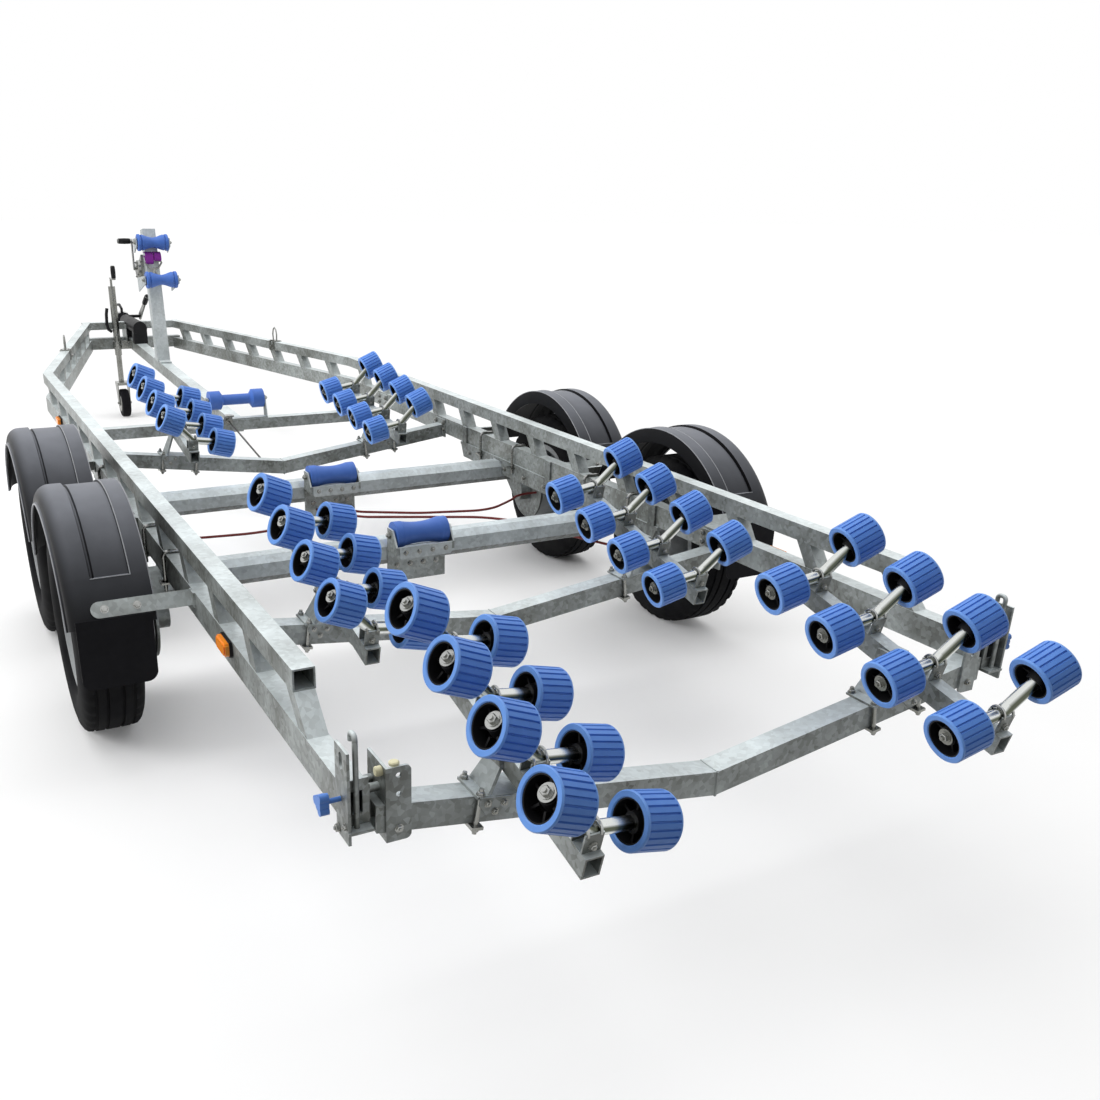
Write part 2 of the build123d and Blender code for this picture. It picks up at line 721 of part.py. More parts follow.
def tyre(x):
    """A radial tyre with square shoulders."""
    half = TYRE_WIDTH / 2
    bead = RIM_RADIUS + RIM_FLANGE + END_OPENING
    side = [
        (RIM_WIDTH / 2 - RIM_FLANGE_WIDTH, RIM_RADIUS),
        (half - TYRE_BEAD, bead),
        (half, RIM_RADIUS + TYRE_BULGE),
        (half - WALL, TYRE_RADIUS - TYRE_SHOULDER),
        (half - TREAD_EDGE / 2, TYRE_RADIUS - TYRE_EDGE),
        (half - TREAD_EDGE, TYRE_RADIUS),
    ]
    left = [(WHEEL_Y + across, radius) for across, radius in side]
    right = [(WHEEL_Y - across, radius) for across, radius in reversed(side)]
    return turned(x, wheel_z, left + right)


for axle_name, wheel_x in zip(("fore", "aft"), wheel_places):
    rim_left = wheel_rim(wheel_x)
    tyre_left = tyre(wheel_x)
    pieces["wheel_" + axle_name + "_left_rim"] = rim_left
    pieces["wheel_" + axle_name + "_left_tyre"] = tyre_left
    pieces["wheel_" + axle_name + "_right_rim"] = mirrored(rim_left)
    pieces["wheel_" + axle_name + "_right_tyre"] = mirrored(tyre_left)

# Mudguards
guard_z = wheel_z - GUARD_DROP


def guard_section(plane, inset, low):
    """Half an arch section: flat crown, round outer shoulder, upright edges."""
    inner = GUARD_INNER_Y + inset
    outer = GUARD_OUTER_Y - inset
    top = guard_outer - inset
    shoulder = GUARD_SHOULDER - inset
    with BuildSketch(plane) as face:
        with BuildLine():
            Polyline((outer, top - shoulder), (outer, low), (inner, low), (inner, top))
            Line((inner, top), (outer - shoulder, top))
            JernArc(start=(outer - shoulder, top), tangent=(1, 0), radius=shoulder, arc_size=-90)
        make_face()
    return face.sketch


def mudguard(x):
    """A moulded guard: flat crown, round outer shoulder and a skirt down both edges."""
    out = Vector(-cos(radians(GUARD_END_ANGLE)), 0, sin(radians(GUARD_END_ANGLE)))
    centre_x = x - GUARD_BACK
    plane = Plane(origin=(centre_x, 0, guard_z), x_dir=(0, 1, 0), z_dir=Vector(0, 1, 0).cross(out))
    low = guard_radius - GUARD_LIP
    with BuildPart() as guard:
        with BuildSketch(plane):
            add(guard_section(Plane.XY, 0, low))
            add(guard_section(Plane.XY, GUARD_SKIN, low - GUARD_SKIN), mode=Mode.SUBTRACT)
        revolve(axis=cross_axis(centre_x, guard_z), revolution_arc=180 - 2 * GUARD_END_ANGLE)
    return guard.part


pieces["mudguards"] = gathered([both_sides(mudguard(x)) for x in wheel_places])


def guard_bracket(x, way):
    """A flat strip from the lower rail out across one end of a guard; way is -1 at the rear."""
    radius = guard_outer + SEAT_GAP
    along = (way * cos(radians(STRIP_ANGLE)), 0, sin(radians(STRIP_ANGLE)))
    centre = (x - GUARD_BACK + along[0] * radius, 0, guard_z + along[2] * radius)
    face = Plane(origin=centre, x_dir=(0, 1, 0), z_dir=along)
    strip_end = GUARD_OUTER_Y - GUARD_SHOULDER - STRIP_SHORT
    foot_x = centre[0] + along[0] * PLATE
    foot = [
        (foot_x - STRIP_WIDTH / 2, min(centre[2], low_rail_top) - STRIP_WIDTH / 2),
        (foot_x + STRIP_WIDTH / 2, min(centre[2], low_rail_top) - STRIP_WIDTH / 2),
        (foot_x + STRIP_WIDTH / 2, max(centre[2], low_rail_top)),
        (foot_x - STRIP_WIDTH / 2, max(centre[2], low_rail_top)),
    ]
    with BuildPart() as bracket:
        with BuildSketch(face):
            with Locations(((rail_outer + strip_end) / 2, 0)):
                Rectangle(strip_end - rail_outer, STRIP_WIDTH)
            with Locations((strip_end, 0)):
                Circle(STRIP_WIDTH / 2)
        extrude(amount=PLATE)
        add(polygon_plate(side_plane(rail_outer + PLATE), foot, PLATE))
    return bracket.part


strips = [both_sides(guard_bracket(x, way)) for x in wheel_places for way in (-1, 1)]
pieces["mudguard_brackets"] = gathered(strips)

# Mud flaps behind the rear wheels
flap_x = wheel_places[1] - GUARD_BACK - guard_outer * cos(radians(GUARD_END_ANGLE)) - SEAT_GAP
flap_top = guard_z + guard_outer * sin(radians(GUARD_END_ANGLE)) + FLAP_LAP
flap_bottom = flap_top - FLAP_LAP - FLAP_LENGTH
with BuildPart() as flap:
    with BuildSketch(Plane.YZ.offset(flap_x - PLATE)):
        with Locations(((GUARD_INNER_Y + GUARD_OUTER_Y) / 2, (flap_top + flap_bottom) / 2)):
            Rectangle(GUARD_OUTER_Y - GUARD_INNER_Y - 2 * FLAP_INSET, flap_top - flap_bottom)
        fillet(vertices().group_by(Axis.Y)[0], FLAP_ROUND)
    extrude(amount=PLATE)
pieces["mud_flaps"] = both_sides(flap.part)


# Roller beams
def beam_pivot(member, y, rise):
    """Where a beam's pivot pin stands above its cross-member."""
    end_z, mid_z = member_heights(member)
    middle = mid_z + (end_z - mid_z) * y / flange_face
    return (V_CROSS_MEMBERS[member][0], y, middle + CROSS_SIZE / 2 + rise)


def beam_stations(front_offset):
    """Places of the bogies along a beam, from its pivot."""
    return [front_offset - BOGIE_SPACING * number for number in range(BOGIE_COUNT)]


def leg_end(angle, side, distance):
    """A point on a bogie's leg, from its bend: side is -1 towards the keel."""
    return (side * distance * cos(radians(angle)), side * distance * sin(radians(angle)))


def beam_tube(stations):
    """The open-ended tube with a stirrup for each bogie, about its pivot."""
    front = stations[0] + BEAM_END
    rear = stations[-1] - BEAM_END
    stirrup_top = BOGIE_RISE + STIRRUP_LAP
    with BuildPart() as tube:
        with BuildSketch(Plane.YZ.offset(rear)):
            Rectangle(BEAM_WIDTH, BEAM_HEIGHT)
            Rectangle(BEAM_WIDTH - 2 * WALL, BEAM_HEIGHT - 2 * WALL, mode=Mode.SUBTRACT)
        extrude(amount=front - rear)
        for station in stations:
            for side in (-1, 1):
                middle = station + side * (BOGIE_TUBE_RADIUS + SEAT_GAP + STIRRUP / 2)
                with BuildSketch(Plane.YZ.offset(middle - STIRRUP / 2)):
                    with Locations((0, (BEAM_HEIGHT / 2 + stirrup_top) / 2)):
                        Rectangle(BEAM_WIDTH, stirrup_top - BEAM_HEIGHT / 2)
                extrude(amount=STIRRUP)
        with BuildSketch(side_plane(BEAM_WIDTH)):
            Circle(PIVOT_RADIUS + PIN_CLEARANCE)
        extrude(amount=2 * BEAM_WIDTH, mode=Mode.SUBTRACT)
    return tube.part


def bogie_arm(station):
    """A round tube bent in a wide V, leaning with the hull, with a roller on each end."""
    inner = leg_end(INNER_LEG_ANGLE, -1, LEG_LENGTH + BOGIE_END)
    outer = leg_end(OUTER_LEG_ANGLE, 1, LEG_LENGTH + BOGIE_END)
    points = [(station, inner[0], BOGIE_RISE + inner[1]), (station, 0, BOGIE_RISE)]
    points.append((station, outer[0], BOGIE_RISE + outer[1]))
    start = Vector(*points[1]) - Vector(*points[0])
    with BuildPart() as arm:
        with BuildLine():
            FilletPolyline(*points, radius=BOGIE_BEND_RADIUS)
        with BuildSketch(Plane(origin=points[0], z_dir=start)):
            Circle(BOGIE_TUBE_RADIUS)
        sweep()
    return arm.part


def wobble_roller(station, leg_angle, roller_angle, side):
    """A hollow drum and web, hung at an angle on a boss that fits over the bogie's leg."""
    across, up = leg_end(leg_angle, side, LEG_LENGTH)
    centre = (station, across, BOGIE_RISE + up)
    along_leg = Plane(origin=centre, x_dir=(1, 0, 0), z_dir=(0, *leg_end(leg_angle, side, 1)))
    along_drum = Plane(origin=centre, x_dir=(1, 0, 0), z_dir=(0, *leg_end(roller_angle, side, 1)))
    with BuildPart() as drum:
        with BuildSketch(along_drum):
            Circle(ROLLER_RADIUS)
            Circle(ROLLER_BORE, mode=Mode.SUBTRACT)
        extrude(amount=ROLLER_WIDTH / 2, both=True)
        with BuildSketch(along_drum):
            Circle(ROLLER_BORE + SEAT_GAP)
        extrude(amount=ROLLER_WEB / 2, both=True)
        with BuildSketch(along_leg):
            Circle(BOGIE_TUBE_RADIUS + ROLLER_BOSS)
        extrude(amount=ROLLER_WIDTH / 4, both=True)
        with BuildSketch(along_leg):
            Circle(BOGIE_TUBE_RADIUS + SEAT_GAP)
        extrude(amount=ROLLER_WIDTH, both=True, mode=Mode.SUBTRACT)
    return drum.part


def roller_row(stations):
    """The eight rollers of one beam."""
    legs = ((INNER_LEG_ANGLE, INNER_ROLLER_ANGLE, -1), (OUTER_LEG_ANGLE, OUTER_ROLLER_ANGLE, 1))
    return gathered([wobble_roller(station, *leg) for station in stations for leg in legs])


def pivot_cheek(pivot, top, slope, side):
    """A cheek folded from plate: its foot flares out on the cross-member, its head stands beside the beam."""
    x, y, z = pivot
    near = BEAM_WIDTH / 2 + PIN_CLEARANCE
    far = near + PIVOT_CHEEK
    flare = PIVOT_FLARE
    head = z + PIVOT_EAR
    bend = z - PIVOT_BEND
    fold = [(near, head), (far, head), (far, bend)]
    fold += [(out, top + side * out * tan(slope)) for out in (flare + PIVOT_CHEEK, flare)]
    fold.append((near, bend))
    outline = [(y + side * out, height) for out, height in fold]
    taper = [
        (x - PIVOT_FOOT, top - PIVOT_FOOT),
        (x + PIVOT_FOOT, top - PIVOT_FOOT),
        (x + PIVOT_FOOT, top),
        (x + PIVOT_EAR, head),
        (x - PIVOT_EAR, head),
        (x - PIVOT_FOOT, top),
    ]
    with BuildPart() as cheek:
        add(polygon_plate(Plane.YZ.offset(x - PIVOT_FOOT), outline, 2 * PIVOT_FOOT))
        add(polygon_plate(side_plane(y + PIVOT_BASE_WIDTH / 2), taper, PIVOT_BASE_WIDTH), mode=Mode.INTERSECT)
    return cheek.part


def pivot_bracket(member, y, rise):
    """Base plate on the cross-member, two folded cheeks and the pin that carry one beam."""
    pivot = beam_pivot(member, y, rise)
    x, y, z = pivot
    top = z - rise
    end_z, mid_z = member_heights(member)
    slope = atan2(end_z - mid_z, flange_face)
    base = Plane(origin=(x, y, top), x_dir=(1, 0, 0), z_dir=(0, -sin(slope), cos(slope)))
    pin_reach = BEAM_WIDTH / 2 + PIN_CLEARANCE + PIVOT_CHEEK + PIN_HEAD
    with BuildPart() as bracket:
        with BuildSketch(base):
            Rectangle(CROSS_SIZE + 2 * PIVOT_BASE_LAP, PIVOT_BASE_WIDTH)
        extrude(amount=PLATE)
        for side in (1, -1):
            add(pivot_cheek(pivot, top, slope, side))
        with BuildSketch(base):
            Rectangle(CROSS_SIZE, PIVOT_BASE_WIDTH)
        extrude(amount=-CROSS_SIZE, mode=Mode.SUBTRACT)
        with BuildSketch(side_plane(y + pin_reach)):
            with Locations((x, z)):
                Circle(PIVOT_RADIUS)
        extrude(amount=2 * pin_reach)
    return bracket.part


pivots = []
for beam_name, (member, beam_y, rise, tilt, front_offset) in ROLLER_BEAMS.items():
    stations = beam_stations(front_offset)
    place = Location(beam_pivot(member, beam_y, rise), (0, -tilt, 0))
    left = {
        "beam": beam_tube(stations).moved(place),
        "bogies": gathered([bogie_arm(station) for station in stations]).moved(place),
        "rollers": roller_row(stations).moved(place),
    }
    for kind, part in left.items():
        pieces[kind + "_" + beam_name + "_left"] = part
        pieces[kind + "_" + beam_name + "_right"] = mirrored(part)
    pivots.append(both_sides(pivot_bracket(member, beam_y, rise)))
pieces["beam_pivots"] = gathered(pivots)


# Keel rollers and their cradles
def waisted_roller(x, z, length, end_radius, waist_radius, bore):
    """A cotton-reel roller: two flat ends and a hollowed waist."""
    half = length / 2
    flat = length * ROLLER_FLAT_SHARE
    plane = Plane(origin=(x, 0, z), x_dir=(0, 1, 0), z_dir=(1, 0, 0))
    with BuildPart() as reel:
        with BuildSketch(plane):
            with BuildLine():
                Polyline((-half, bore), (-half, end_radius), (-half + flat, end_radius))
                ThreePointArc((-half + flat, end_radius), (0, waist_radius), (half - flat, end_radius))
                Polyline((half - flat, end_radius), (half, end_radius), (half, bore), (-half, bore))
            make_face()
        revolve(axis=cross_axis(x, z))
    return reel.part


def front_keel_roller(x, z):
    """Two cups on a tube."""
    half = FRONT_ROLLER_LENGTH / 2
    bore = KEEL_PIN_RADIUS + PIN_CLEARANCE
    side = [
        (half, bore),
        (half, FRONT_ROLLER_RADIUS),
        (half - FRONT_ROLLER_CUP, FRONT_ROLLER_RADIUS),
        (half - FRONT_ROLLER_CUP - FRONT_ROLLER_TAPER, FRONT_ROLLER_WAIST),
    ]
    return turned(x, z, side + [(-across, radius) for across, radius in reversed(side)])


def front_cradle(x, z):
    """Two upright ears on a strip across the front cross-member, with the roller's pin."""
    inside = FRONT_ROLLER_LENGTH / 2 + RUN_CLEARANCE
    ear = [
        (FRONT_CROSS_X - FRONT_EAR_FOOT, front_cross_top),
        (FRONT_CROSS_X + FRONT_EAR_FOOT, front_cross_top),
        (x + FRONT_EAR_TOP, z + FRONT_EAR_TOP),
        (x - FRONT_EAR_TOP, z + FRONT_EAR_TOP),
    ]
    with BuildPart() as cradle:
        with BuildSketch(Plane.XY.offset(front_cross_top)):
            with Locations((FRONT_CROSS_X, 0)):
                Rectangle(2 * FRONT_EAR_FOOT, 2 * (inside + PLATE))
        extrude(amount=PLATE)
        for outer_y in (inside + PLATE, -inside):
            add(polygon_plate(side_plane(outer_y), ear, PLATE))
        add(cross_pin(x, z, inside + PLATE + PIN_HEAD, KEEL_PIN_RADIUS))
    return cradle.part


def axle_cradle(axle_x, x, z):
    """A plate on the axle's rear face, a shelf with a lip under the roller, two ears and the pin."""
    inside = AXLE_ROLLER_LENGTH / 2 + RUN_CLEARANCE
    half_width = inside + PLATE
    face_x = axle_x - AXLE_SIZE / 2
    shelf_top = z - AXLE_ROLLER_RADIUS - RUN_CLEARANCE
    shelf_low = shelf_top - PLATE
    tail_x = x - CRADLE_TAIL
    plate_low = axle_z - AXLE_SIZE / 2 - CRADLE_DROP
    side = [
        (face_x, plate_low),
        (face_x, axle_top - AXLE_CHAMFER),
        (face_x - PLATE, axle_top - AXLE_CHAMFER),
        (face_x - PLATE, shelf_top),
        (tail_x, shelf_top),
        (tail_x, shelf_low + CRADLE_LIP),
        (tail_x - PLATE, shelf_low + CRADLE_LIP),
        (tail_x - PLATE, shelf_low),
        (face_x - PLATE, shelf_low),
        (face_x - PLATE, plate_low),
    ]
    ear = [
        (face_x, shelf_low),
        (face_x, axle_top - AXLE_CHAMFER),
        (x + CRADLE_EAR, z),
        (x + CRADLE_EAR, z + CRADLE_EAR),
        (x - CRADLE_EAR, z + CRADLE_EAR),
        (tail_x - PLATE, shelf_low + CRADLE_LIP),
        (tail_x - PLATE, shelf_low),
    ]
    with BuildPart() as cradle:
        add(polygon_plate(side_plane(half_width), side, 2 * half_width))
        for outer_y in (half_width, -inside):
            add(polygon_plate(side_plane(outer_y), ear, PLATE))
        add(cross_pin(x, z, half_width + PIN_HEAD, KEEL_PIN_RADIUS))
    return cradle.part


front_roller_x = FRONT_CROSS_X + FRONT_ROLLER_AHEAD
front_roller_z = front_cross_top + FRONT_ROLLER_RISE
pieces["keel_roller_front"] = front_keel_roller(front_roller_x, front_roller_z)
cradles = [front_cradle(front_roller_x, front_roller_z)]
for roller_name, axle_x in zip(("fore_axle", "rear_axle"), axle_places):
    roller_x = axle_x - AXLE_ROLLER_BEHIND
    roller_z = axle_top + AXLE_ROLLER_RISE
    keel_bore = KEEL_PIN_RADIUS + PIN_CLEARANCE
    pieces["keel_roller_" + roller_name] = waisted_roller(
        roller_x, roller_z, AXLE_ROLLER_LENGTH, AXLE_ROLLER_RADIUS, AXLE_ROLLER_WAIST, keel_bore
    )
    cradles.append(axle_cradle(axle_x, roller_x, roller_z))
pieces["keel_cradles"] = gathered(cradles)

# Winch post, with the bow rollers and the hand winch
post_foot = Vector(POST_X, 0, spine_top(POST_X) + POST_FOOT_RISE)
post_up = Vector(sin(radians(POST_LEAN)), 0, cos(radians(POST_LEAN)))
post_back = Vector(-cos(radians(POST_LEAN)), 0, sin(radians(POST_LEAN)))
half_post = POST_SIZE / 2
bow_inside = BOW_ROLLER_LENGTH / 2 + RUN_CLEARANCE


def on_post(below, behind):
    """A point beside the post, from its top."""
    return post_foot + post_up * (POST_LENGTH - below) + post_back * behind


def on_side(*points):
    """Points as seen from the side."""
    return [(point.X, point.Z) for point in points]


spine_up = Vector(-spine_slope, 0, 1)
spine_plane = Plane(origin=(POST_X, 0, spine_top(POST_X)), x_dir=(0, 1, 0), z_dir=spine_up)
with BuildPart() as winch_post:
    with BuildSketch(Plane(origin=post_foot - post_up * 2 * POST_FOOT_RISE, x_dir=(0, 1, 0), z_dir=post_up)):
        Rectangle(POST_SIZE, POST_SIZE)
    extrude(amount=POST_LENGTH + 2 * POST_FOOT_RISE)
    with BuildSketch(spine_plane):
        Rectangle(2 * POST_SIZE, 2 * POST_BASE_LENGTH)
    extrude(amount=-POST_SIZE - POST_FOOT_RISE, mode=Mode.SUBTRACT)
    with BuildSketch(spine_plane):
        Rectangle(SPINE_SIZE, POST_BASE_LENGTH)
    extrude(amount=POST_BASE)
    for below, behind in BOW_ROLLERS.values():
        pin = on_post(below, behind)
        root = half_post - PLATE
        ear = on_side(
            on_post(below + BOW_EAR_LOW, root),
            on_post(below + BOW_EAR_TIP, behind + BOW_EAR_TIP),
            on_post(below - BOW_EAR_TIP, behind + BOW_EAR_TIP),
            on_post(below - BOW_EAR_HIGH, root),
        )
        for outer_y in (bow_inside + PLATE, -bow_inside):
            add(polygon_plate(side_plane(outer_y), ear, PLATE))
        bridge = on_side(
            on_post(below + BOW_BRIDGE / 2, half_post + PLATE),
            on_post(below - BOW_BRIDGE / 2, half_post + PLATE),
            on_post(below - BOW_BRIDGE / 2, root),
            on_post(below + BOW_BRIDGE / 2, root),
        )
        add(polygon_plate(side_plane(bow_inside + PLATE), bridge, 2 * (bow_inside + PLATE)))
        add(cross_pin(pin.X, pin.Z, bow_inside + PLATE + PIN_HEAD, BOW_PIN_RADIUS))
pieces["winch_post"] = winch_post.part

for roller_name, (below, behind) in BOW_ROLLERS.items():
    centre = on_post(below, behind)
    bow_bore = BOW_PIN_RADIUS + PIN_CLEARANCE
    pieces["bow_roller_" + roller_name] = waisted_roller(
        centre.X, centre.Z, BOW_ROLLER_LENGTH, BOW_ROLLER_RADIUS, BOW_ROLLER_WAIST, bow_bore
    )

# Hand winch on the front of the post
winch_centre = on_post(WINCH_BELOW, -WINCH_AHEAD)
winch_place = (winch_centre.X, winch_centre.Z)
cheek_in = DRUM_LENGTH / 2 + RUN_CLEARANCE
cheek_out = cheek_in + WINCH_CHEEK
foot_low = WINCH_BELOW + WINCH_FOOT / 2
foot_high = WINCH_BELOW - WINCH_FOOT / 2
winch_foot = on_side(
    on_post(foot_low, -half_post),
    on_post(foot_high, -half_post),
    on_post(foot_high, -half_post - PLATE),
    on_post(foot_low, -half_post - PLATE),
)
with BuildPart() as winch_frame:
    for outer_y in (cheek_out, -cheek_in):
        with BuildSketch(side_plane(outer_y)):
            with Locations(winch_place):
                Circle(WINCH_EAR)
            with BuildLine():
                Polyline(*winch_foot, close=True)
            make_face()
            make_hull()
            with Locations(winch_place):
                Circle(SHAFT_RADIUS + PIN_CLEARANCE, mode=Mode.SUBTRACT)
        extrude(amount=WINCH_CHEEK)
    add(polygon_plate(side_plane(cheek_out), winch_foot, 2 * cheek_out))
pieces["winch_frame"] = winch_frame.part

half_drum = DRUM_LENGTH / 2
crank_tip = (winch_centre.X, winch_centre.Z + CRANK_LENGTH)
with BuildPart() as winch_drum:
    for outer_y, radius, length in (
        (CRANK_Y, SHAFT_RADIUS, CRANK_Y + cheek_out + PIN_HEAD),
        (half_drum, DRUM_CORE, DRUM_LENGTH),
        (half_drum, DRUM_FLANGE, DRUM_FLANGE_THICKNESS),
        (-half_drum + DRUM_FLANGE_THICKNESS, DRUM_FLANGE, DRUM_FLANGE_THICKNESS),
    ):
        with BuildSketch(side_plane(outer_y)):
            with Locations(winch_place):
                Circle(radius)
        extrude(amount=length)
    with BuildSketch(side_plane(CRANK_Y)):
        with Locations(winch_place, crank_tip):
            Circle(CRANK_WIDTH)
        make_hull()
    extrude(amount=CRANK_THICKNESS)
    with BuildSketch(side_plane(CRANK_Y)):
        with Locations(crank_tip):
            Circle(CRANK_WIDTH)
    extrude(amount=-GRIP_LENGTH)
pieces["winch_drum"] = winch_drum.part

strap_half = half_drum - DRUM_FLANGE_THICKNESS - END_OPENING
with BuildPart() as winch_strap:
    with BuildSketch(side_plane(strap_half)):
        with Locations(winch_place):
            Circle(DRUM_FLANGE - STRAP_MARGIN)
            Circle(DRUM_CORE + SEAT_GAP, mode=Mode.SUBTRACT)
    extrude(amount=2 * strap_half)
pieces["winch_strap"] = winch_strap.part

# Overrun coupling
lever_pivot = (LEVER_PIVOT_X, coupling_z + LEVER_PIVOT_RISE)
with BuildPart() as coupling_body:
    with BuildSketch(Plane.YZ.offset(HOUSING_REAR_X)):
        with Locations((0, coupling_z)):
            Circle(HOUSING_RADIUS)
    extrude(amount=HOUSING_FRONT_X - HOUSING_REAR_X)
    for distance in HOUSING_FEET:
        foot_x = HOUSING_REAR_X + distance
        foot = [
            (foot_x - HOUSING_FOOT / 2, spine_top(foot_x - HOUSING_FOOT / 2)),
            (foot_x + HOUSING_FOOT / 2, spine_top(foot_x + HOUSING_FOOT / 2)),
            (foot_x + HOUSING_FOOT / 2, coupling_z),
            (foot_x - HOUSING_FOOT / 2, coupling_z),
        ]
        add(polygon_plate(side_plane(HOUSING_RADIUS), foot, 2 * HOUSING_RADIUS))
    with BuildSketch(side_plane(0)):
        with Locations(lever_pivot):
            Circle(LEVER_PIN)
    extrude(amount=-LEVER_Y + LEVER_THICKNESS + PIN_HEAD)
    lug = [
        (LEVER_PIVOT_X - LEVER_ROOT, coupling_z),
        (LEVER_PIVOT_X + LEVER_ROOT, coupling_z),
        (LEVER_PIVOT_X + LEVER_PIN, lever_pivot[1] + LEVER_PIN),
        (LEVER_PIVOT_X - LEVER_PIN, lever_pivot[1] + LEVER_PIN),
    ]
    add(polygon_plate(side_plane(-HOUSING_RADIUS / 2), lug, PLATE))
pieces["coupling_body"] = coupling_body.part

with BuildPart() as gaiter:
    with BuildSketch(Plane.XZ):
        pitch = (GAITER_FRONT_X - HOUSING_FRONT_X) / BELLOWS
        with BuildLine():
            ridges = [(HOUSING_FRONT_X, coupling_z)]
            for fold in range(BELLOWS):
                ridges.append((HOUSING_FRONT_X + fold * pitch, coupling_z + GAITER_RADIUS - GAITER_FOLD))
                ridges.append((HOUSING_FRONT_X + (fold + 0.5) * pitch, coupling_z + GAITER_RADIUS))
            ridges.append((GAITER_FRONT_X, coupling_z + GAITER_RADIUS - GAITER_FOLD))
            ridges.append((GAITER_FRONT_X, coupling_z))
            Polyline(*ridges, close=True)
        make_face()
    revolve(axis=Axis((0, 0, coupling_z), (1, 0, 0)))
pieces["gaiter"] = gaiter.part

head_bottom = coupling_z - HEAD_DROP
head_top = head_bottom + HEAD_HEIGHT
head_side = [
    (GAITER_FRONT_X, head_bottom + HEAD_CHIN),
    (HEAD_BALL_X - HEAD_NOSE, head_bottom),
    (HEAD_BALL_X + HEAD_NOSE, head_bottom),
    (HEAD_BALL_X + HEAD_NOSE, head_bottom + HEAD_BROW),
    (HEAD_BALL_X, head_top),
    (GAITER_FRONT_X, head_top),
]
with BuildPart() as coupling_head:
    add(polygon_plate(side_plane(HEAD_HALF_WIDTH), head_side, 2 * HEAD_HALF_WIDTH))
    fillet(coupling_head.edges().filter_by(Axis.Z).group_by(Axis.X)[-1], HEAD_ROUND)
    with BuildSketch(Plane.XY.offset(head_bottom)):
        with Locations((HEAD_BALL_X, 0)):
            Circle(BALL_RADIUS + BALL_CLEARANCE)
    extrude(amount=BALL_DEPTH, mode=Mode.SUBTRACT)
pieces["coupling_head"] = coupling_head.part

# Handbrake lever
lever_out = Vector(-cos(radians(LEVER_RAISE)), 0, sin(radians(LEVER_RAISE)))
lever_tip = Vector(lever_pivot[0], LEVER_Y - LEVER_THICKNESS / 2, lever_pivot[1]) + lever_out * LEVER_LENGTH
with BuildPart() as handbrake:
    with BuildSketch(side_plane(LEVER_Y)):
        with Locations(lever_pivot):
            Circle(LEVER_ROOT)
        with Locations((lever_tip.X, lever_tip.Z)):
            Circle(LEVER_TIP)
        make_hull()
        with Locations(lever_pivot):
            Circle(LEVER_PIN + PIN_CLEARANCE, mode=Mode.SUBTRACT)
    extrude(amount=LEVER_THICKNESS)
    with BuildSketch(Plane(origin=lever_tip - lever_out * LEVER_GRIP_LAP, z_dir=lever_out)):
        Circle(LEVER_GRIP_RADIUS)
    extrude(amount=LEVER_GRIP_LENGTH)
pieces["handbrake"] = handbrake.part

# Jockey wheel: clamp and outer tube on the frame, then stem, fork and wheel
jockey_place = (JOCKEY_X, JOCKEY_Y)
tube_bottom = spine_front_top - JOCKEY_TUBE_DROP
tube_top = tube_bottom + JOCKEY_TUBE_LENGTH
stem_bore = JOCKEY_STEM_RADIUS + PIN_CLEARANCE
spine_side_y = SPINE_SIZE / 2
clamp_low = spine_top(JOCKEY_X) - (SPINE_SIZE + JOCKEY_CLAMP_HEIGHT) / 2
arm_low = tube_top + JOCKEY_SCREW_LENGTH - JOCKEY_ARM_THICKNESS
with BuildPart() as jockey_tube:
    with BuildSketch(Plane.XY.offset(clamp_low)):
        with Locations((JOCKEY_X, (JOCKEY_Y + spine_side_y) / 2)):
            Rectangle(JOCKEY_CLAMP_WIDTH, JOCKEY_Y - spine_side_y)
        with Locations(jockey_place):
            Circle(JOCKEY_TUBE_RADIUS + JOCKEY_CLAMP)
    extrude(amount=JOCKEY_CLAMP_HEIGHT)
    with BuildSketch(Plane.XY.offset(tube_bottom)):
        with Locations(jockey_place):
            Circle(JOCKEY_TUBE_RADIUS)
    extrude(amount=JOCKEY_TUBE_LENGTH)
    with BuildSketch(Plane.XY.offset(tube_bottom)):
        with Locations(jockey_place):
            Circle(stem_bore)
    extrude(amount=JOCKEY_TUBE_LENGTH - JOCKEY_CAP, mode=Mode.SUBTRACT)
    with BuildSketch(Plane.XY.offset(tube_top)):
        with Locations(jockey_place):
            Circle(JOCKEY_SCREW_RADIUS)
    extrude(amount=JOCKEY_SCREW_LENGTH)
    with BuildSketch(Plane.XY.offset(arm_low)):
        with Locations(jockey_place, (JOCKEY_X - JOCKEY_ARM_LENGTH, JOCKEY_Y)):
            Circle(JOCKEY_ARM_WIDTH / 2)
        make_hull()
    extrude(amount=JOCKEY_ARM_THICKNESS)
    with BuildSketch(Plane.XY.offset(arm_low)):
        with Locations((JOCKEY_X - JOCKEY_ARM_LENGTH, JOCKEY_Y)):
            Circle(JOCKEY_GRIP_RADIUS)
    extrude(amount=JOCKEY_GRIP_LENGTH)
pieces["jockey_tube"] = jockey_tube.part

fork_top = 2 * JOCKEY_WHEEL_RADIUS + JOCKEY_FORK_GAP
stem_foot = fork_top + JOCKEY_CROWN
stem_top = tube_top - JOCKEY_STEM_IN
with BuildPart() as jockey_stem:
    with BuildSketch(Plane.XY.offset(stem_foot)):
        with Locations(jockey_place):
            Circle(JOCKEY_STEM_RADIUS)
    extrude(amount=stem_top - stem_foot)
pieces["jockey_stem"] = jockey_stem.part

